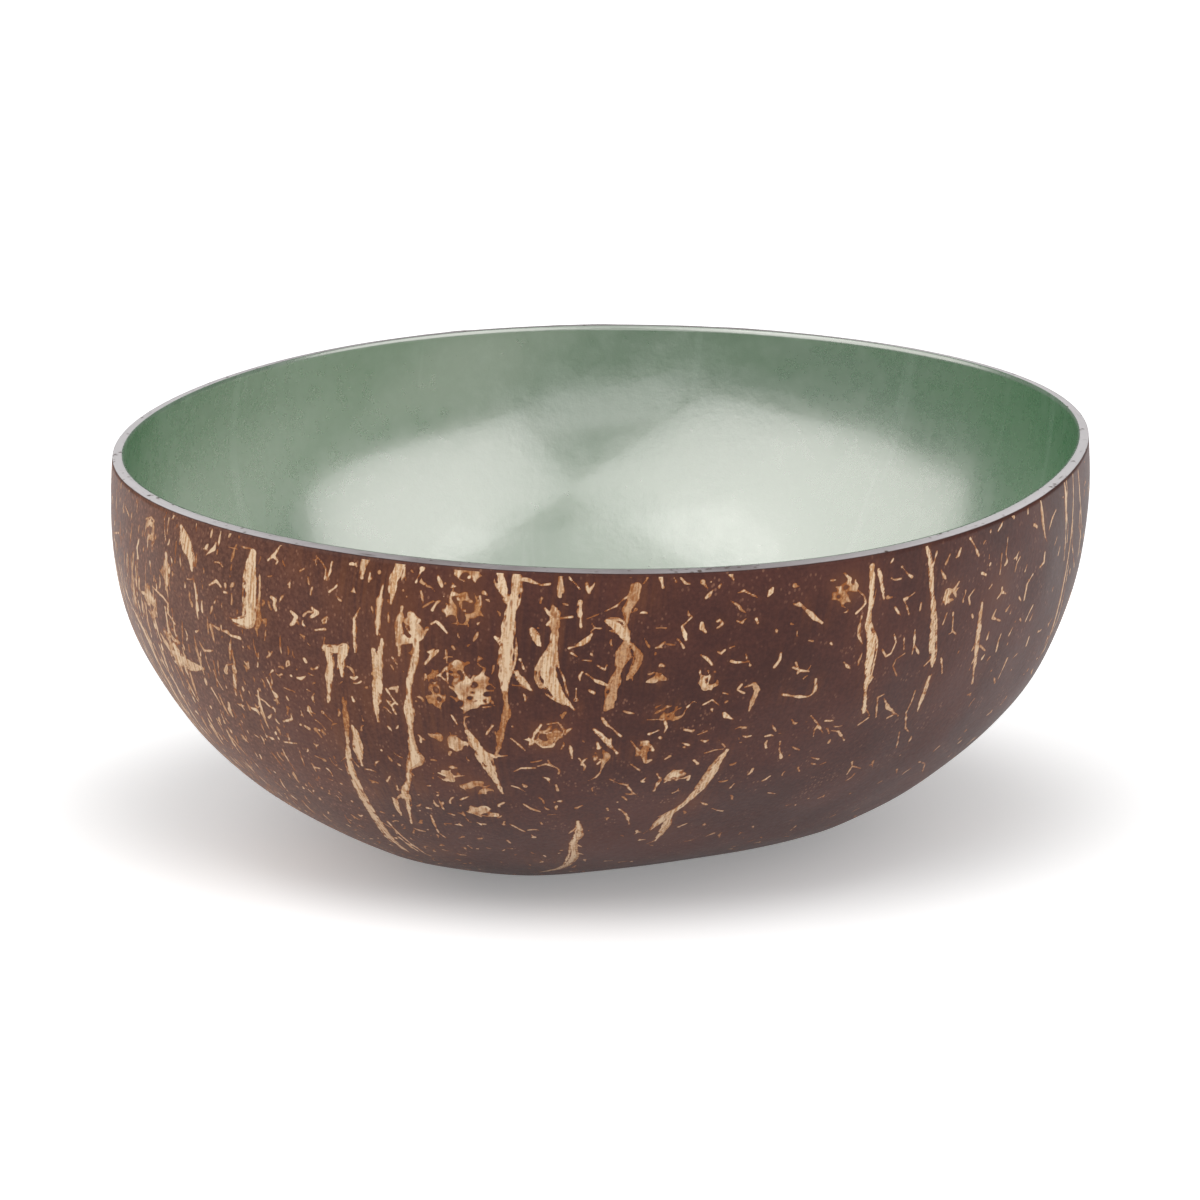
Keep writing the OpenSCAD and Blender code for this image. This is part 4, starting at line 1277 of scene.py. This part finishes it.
def setCamera():
    data = bpy.data.cameras.new("camera")
    data.lens, data.sensor_width = view["lens"], view["sensor"]
    camera = added("camera", data)
    rise = math.radians(view["rise"])
    camera.location = Vector(view["aim"]) + view["distance"] * Vector((0, -math.cos(rise), math.sin(rise)))
    aimAt(camera, view["aim"])
    bpy.context.scene.camera = camera
    return camera


# turn from the camera's side and rise in degrees, distance, width and height in metres, and brightness
lamps = {
    "leftBox": (-65, 44, 1.15, 2.1, 1.05, 1.23),
    "rightBox": (54, 35.5, 1.15, 1.72, 1.1, 1.24),
    "frontBox": (-3, 11, 1.4, 0.8, 0.5, 0.75),
    "topBox": (0, 82, 1.2, 1.5, 0.9, 0.6),
}
lampAim, skyLight = (0, 0, 0.04), 0.22


def setLight():
    for name, (turn, rise, distance, wide, tall, bright) in lamps.items():
        data = bpy.data.lights.new(name, "AREA")
        data.shape, data.size, data.size_y = "RECTANGLE", wide, tall
        data.energy = bright * math.pi * wide * tall
        lamp = added(name, data)
        turn, rise = math.radians(turn), math.radians(rise)
        lamp.location = (distance * math.sin(turn) * math.cos(rise),
                         -distance * math.cos(turn) * math.cos(rise),
                         lampAim[2] + distance * math.sin(rise))
        aimAt(lamp, lampAim)
    world = bpy.data.worlds.new("studio")
    bpy.context.scene.world = world
    world.use_nodes = True
    world.node_tree.nodes["Background"].inputs["Color"].default_value = (1, 1, 1, 1)
    world.node_tree.nodes["Background"].inputs["Strength"].default_value = skyLight


floorLook = {
    "side": 3.0, "white": 0.94, "roughness": 0.9,
    "glow": 0.25, "nearGlow": 0.57, "farGlow": 0.62,   # under the bowl, where the low glow is a painted shadow, beside it, and far off
    "shadowCentre": (0, -0.014, 0), "oval": (1, 1.4, 1),   # place and shape of the dim patch, a painted shadow round the bowl
    "nearFrom": 0.058, "nearTo": 0.095, "farFrom": 0.12, "farTo": 0.6,   # metres from its middle
}


def buildFloor():
    # white paper; it glows as well, but only for rays that show it, so the glow doesn't light the bowl; less
    # glow in an oval round the bowl paints a shadow there
    made = Finish("paleFloor")
    seen = made.node("ShaderNodeLightPath", output="Is Camera Ray")
    for kind in ("Is Glossy Ray", "Is Transmission Ray"):
        seen = seen + made.node("ShaderNodeLightPath", output=kind)
    spread = made.node("ShaderNodeMapping", {}, {"Vector": made.place(), "Location": floorLook["shadowCentre"],
                                                 "Scale": floorLook["oval"]})
    away = made.node("ShaderNodeVectorMath", {"operation": "LENGTH"}, {0: spread}, "Value")
    names = ("white", "glow", "nearGlow", "farGlow")
    white, glow, nearGlow, farGlow = ((floorLook[name],) * 3 for name in names)
    # painted shadow: the glow is lowest under the bowl and rises away from it
    glow = made.mix(made.between(away, floorLook["nearFrom"], floorLook["nearTo"]), glow, nearGlow)
    glow = made.mix(made.between(away, floorLook["farFrom"], floorLook["farTo"]), glow, farGlow)
    made.shine(baseColour=white, roughness=floorLook["roughness"], level=0.0,
               glow=made.mix(seen, (0.0, 0.0, 0.0), glow), glowStrength=1.0)
    side = floorLook["side"]
    corners = [(-side, -side, 0), (side, -side, 0), (side, side, 0), (-side, side, 0)]
    mesh = bpy.data.meshes.new("floor")
    mesh.from_pydata(corners, [], [(0, 1, 2, 3)])
    mesh.materials.append(made.material)
    added("floor", mesh)


groundLook = {
    "grey": colour(164, 158, 159), "worn": colour(140, 132, 132), "pale": colour(216, 212, 213),
    "pit": colour(92, 78, 70), "roughness": 0.62, "level": 0.3, "bump": 0.5, "bumpDepth": 0.0004,
    "around": 600, "steps": 40,
    "sideLightFrom": 0.02, "sideLightTo": 0.066,   # metres to either side, where painted side light makes it paler
    "bareBelow": 0.05984, "fullAbove": 0.05996,   # height over which it thins out on the shell's edge
    "round": 0.00007, "step": 0.0001,   # how far its top drops at both edges, and its outer step
}
lipShares = (0.03, 0.09, 0.2, 0.35, 0.5, 0.65, 0.8, 0.91, 0.97)   # its rings across the lip, from outside in


def groundFinish():
    made = Finish("greyGround")
    place = made.place()
    clouds = made.noise(place, scale=160, detail=4)
    pitted = made.spots(place, 760, 0.12, 0.34)
    pitted = pitted * made.between(made.noise(place, scale=330, detail=2), 0.48, 0.6)
    grey = made.mix(made.between(clouds, 0.35, 0.7), groundLook["grey"], groundLook["worn"])
    # painted side light: the rim is paler towards its left and right
    sides = made.between(abs(made.part("X")), groundLook["sideLightFrom"], groundLook["sideLightTo"])
    grey = made.mix(sides, grey, groundLook["pale"])
    grey = made.mix(pitted, grey, groundLook["pit"])
    height = made.part("Z") + (clouds - 0.5) * 0.0001
    covered = made.between(height, groundLook["bareBelow"], groundLook["fullAbove"])
    return made.shine(baseColour=made.mix(covered, shellLook["dark"], grey),
                      roughness=groundLook["roughness"], level=groundLook["level"],
                      normal=made.bump(clouds * 0.6 - pitted, groundLook["bump"], groundLook["bumpDepth"]))


def buildGround():
    around, steps = groundLook["around"], groundLook["steps"]
    bearing = bearings(around)
    under = hollowRings(0.0, cutHeight, around, shellLook["insideSteps"])[::-1]
    inside = hollowRings(nut["ground"], lipHeight, around, steps)
    outerLow = outsidePoint(bearing, np.full(around, angleAt(cutHeight)))
    outerTop = outsidePoint(bearing, np.full(around, angleAt(nut["height"])))
    lip = inside[0]
    uneven = Ripple(seed=11, depth=0.0002, longest=0.02, shortest=0.003)
    across = []
    for share in lipShares:
        ring = outerTop + (lip - outerTop) * share
        edge = abs(2 * share - 1)   # 1 at both edges, 0 halfway
        ring[:, 2] += uneven.at(ring) * 0.4 * (1 - edge) - groundLook["round"] * edge ** 3
        across.append(ring)
    rings = under + [outerLow, outerTop - np.array([0, 0, groundLook["step"]])] + across + inside
    points, faces = joinRings(rings, hollowTip(nut["ground"]), hollowTip(0.0))
    piece = makePiece("ground_coat_skin", points, faces, groundFinish())
    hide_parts("ground_coat")
    return piece


lacquerLook = {
    "green": colour(86, 143, 100), "deep": colour(74, 126, 87), "leaf": colour(138, 172, 146),
    "roughness": 0.28, "index": 2.8, "level": 0.88, "tint": (1.0, 0.92, 0.91),
    "bump": 0.3, "bumpDepth": 0.0003,
    "coatRoughness": 0.11, "coatIndex": 1.7, "coatLost": 0.85,   # clear coat, and the share lost at the sides
    "coatFrom": 0.028, "coatTo": 0.062,   # metres to either side, where it is lost
    "frostFrom": 0.016, "frostTo": 0.054, "frost": 0.9, "frostRough": 0.05,   # the frosted middle
    "shadeFrom": 0.03, "shadeTo": 0.058,   # height over which painted shade darkens it towards the rim
    "around": 600, "steps": 120,
}


def lacquerFinish():
    made = Finish("greenLacquer")
    place, grain = made.place(), made.attribute("grain", "Vector")
    clouds = made.noise(place, scale=34, detail=4)
    leaf = made.noise(place, scale=320, detail=5, rough=0.65)
    rubbed = made.noise(made.stretch(grain, (240, 240, 20)), scale=1, detail=3)
    # painted shade: darker green towards the rim, where the walls reflect no lamp
    height = made.part("Z") + (clouds - 0.5) * 0.02
    paintedShade = made.between(height, lacquerLook["shadeFrom"], lacquerLook["shadeTo"])
    base = made.mix(paintedShade * 0.8, lacquerLook["green"], lacquerLook["deep"])
    base = made.mix(made.between(leaf * 0.5 + clouds * 0.5, 0.45, 0.62) * 0.3, base, lacquerLook["leaf"])
    base = made.mix(made.between(rubbed, 0.6, 0.72) * 0.35, base, lacquerLook["leaf"])
    # short hairlines in two directions
    slanted = made.spots(made.turned(place, (0.5, 0.7, 0.4), (40, 900, 900)), 1, 0.04, 0.16)
    crossed = made.spots(made.turned(place, (-0.6, 0.2, -0.5), (900, 55, 900)), 1, 0.04, 0.16)
    scratch = (slanted + crossed) * made.between(made.noise(place, scale=60, detail=2), 0.5, 0.58)
    sand = made.noise(place, scale=1300, detail=3)
    side = abs(made.part("X"))
    frosted = 1 - made.between(side, lacquerLook["frostFrom"], lacquerLook["frostTo"])
    frosted = frosted * made.between(clouds, 0.3, 0.6)
    rough = lacquerLook["roughness"] + frosted * lacquerLook["frostRough"]
    rough = rough + (leaf - 0.5) * 0.2 + (sand - 0.5) * 0.08
    relief = sand * 0.12 + leaf * (0.08 + frosted * lacquerLook["frost"])
    lost = made.between(side, lacquerLook["coatFrom"], lacquerLook["coatTo"]) * lacquerLook["coatLost"]
    plain = {name: lacquerLook[name] for name in ("index", "level", "tint", "coatRoughness", "coatIndex")}
    return made.shine(baseColour=made.mix(scratch * 0.4, base, lacquerLook["deep"]), roughness=rough,
                      normal=made.bump(relief, lacquerLook["bump"], lacquerLook["bumpDepth"]),
                      coat=1 - lost, **plain)


def buildLacquer():
    around, both = lacquerLook["around"], nut["ground"] + nut["lacquer"]
    brushed = Ripple(seed=23, depth=0.00006, longest=0.045, shortest=0.012)
    top = hollowRings(both, lipHeight, around, lacquerLook["steps"], brushed)
    under = hollowRings(nut["ground"], lipHeight, around, groundLook["steps"])[::-1]
    points, faces = joinRings(under + top, hollowTip(both), hollowTip(nut["ground"]))
    piece = makePiece("lacquer_skin", points, faces, lacquerFinish())
    store(piece, "grain", "FLOAT_VECTOR", grainOf(np.array(points)))
    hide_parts("lacquer_lining")
    return piece


camera = setCamera()
setLight()
buildFloor()
print("camera, light and floor are set")
shell = buildShell()
print("shell", len(shell.data.polygons))
ground = buildGround()
lacquer = buildLacquer()
print("coats", len(ground.data.polygons), len(lacquer.data.polygons))
fibres = buildFibres(shell, camera)
print("fibres", [len(piece.data.polygons) for piece in fibres])

scene = bpy.context.scene
scene.view_settings.view_transform = "Standard"
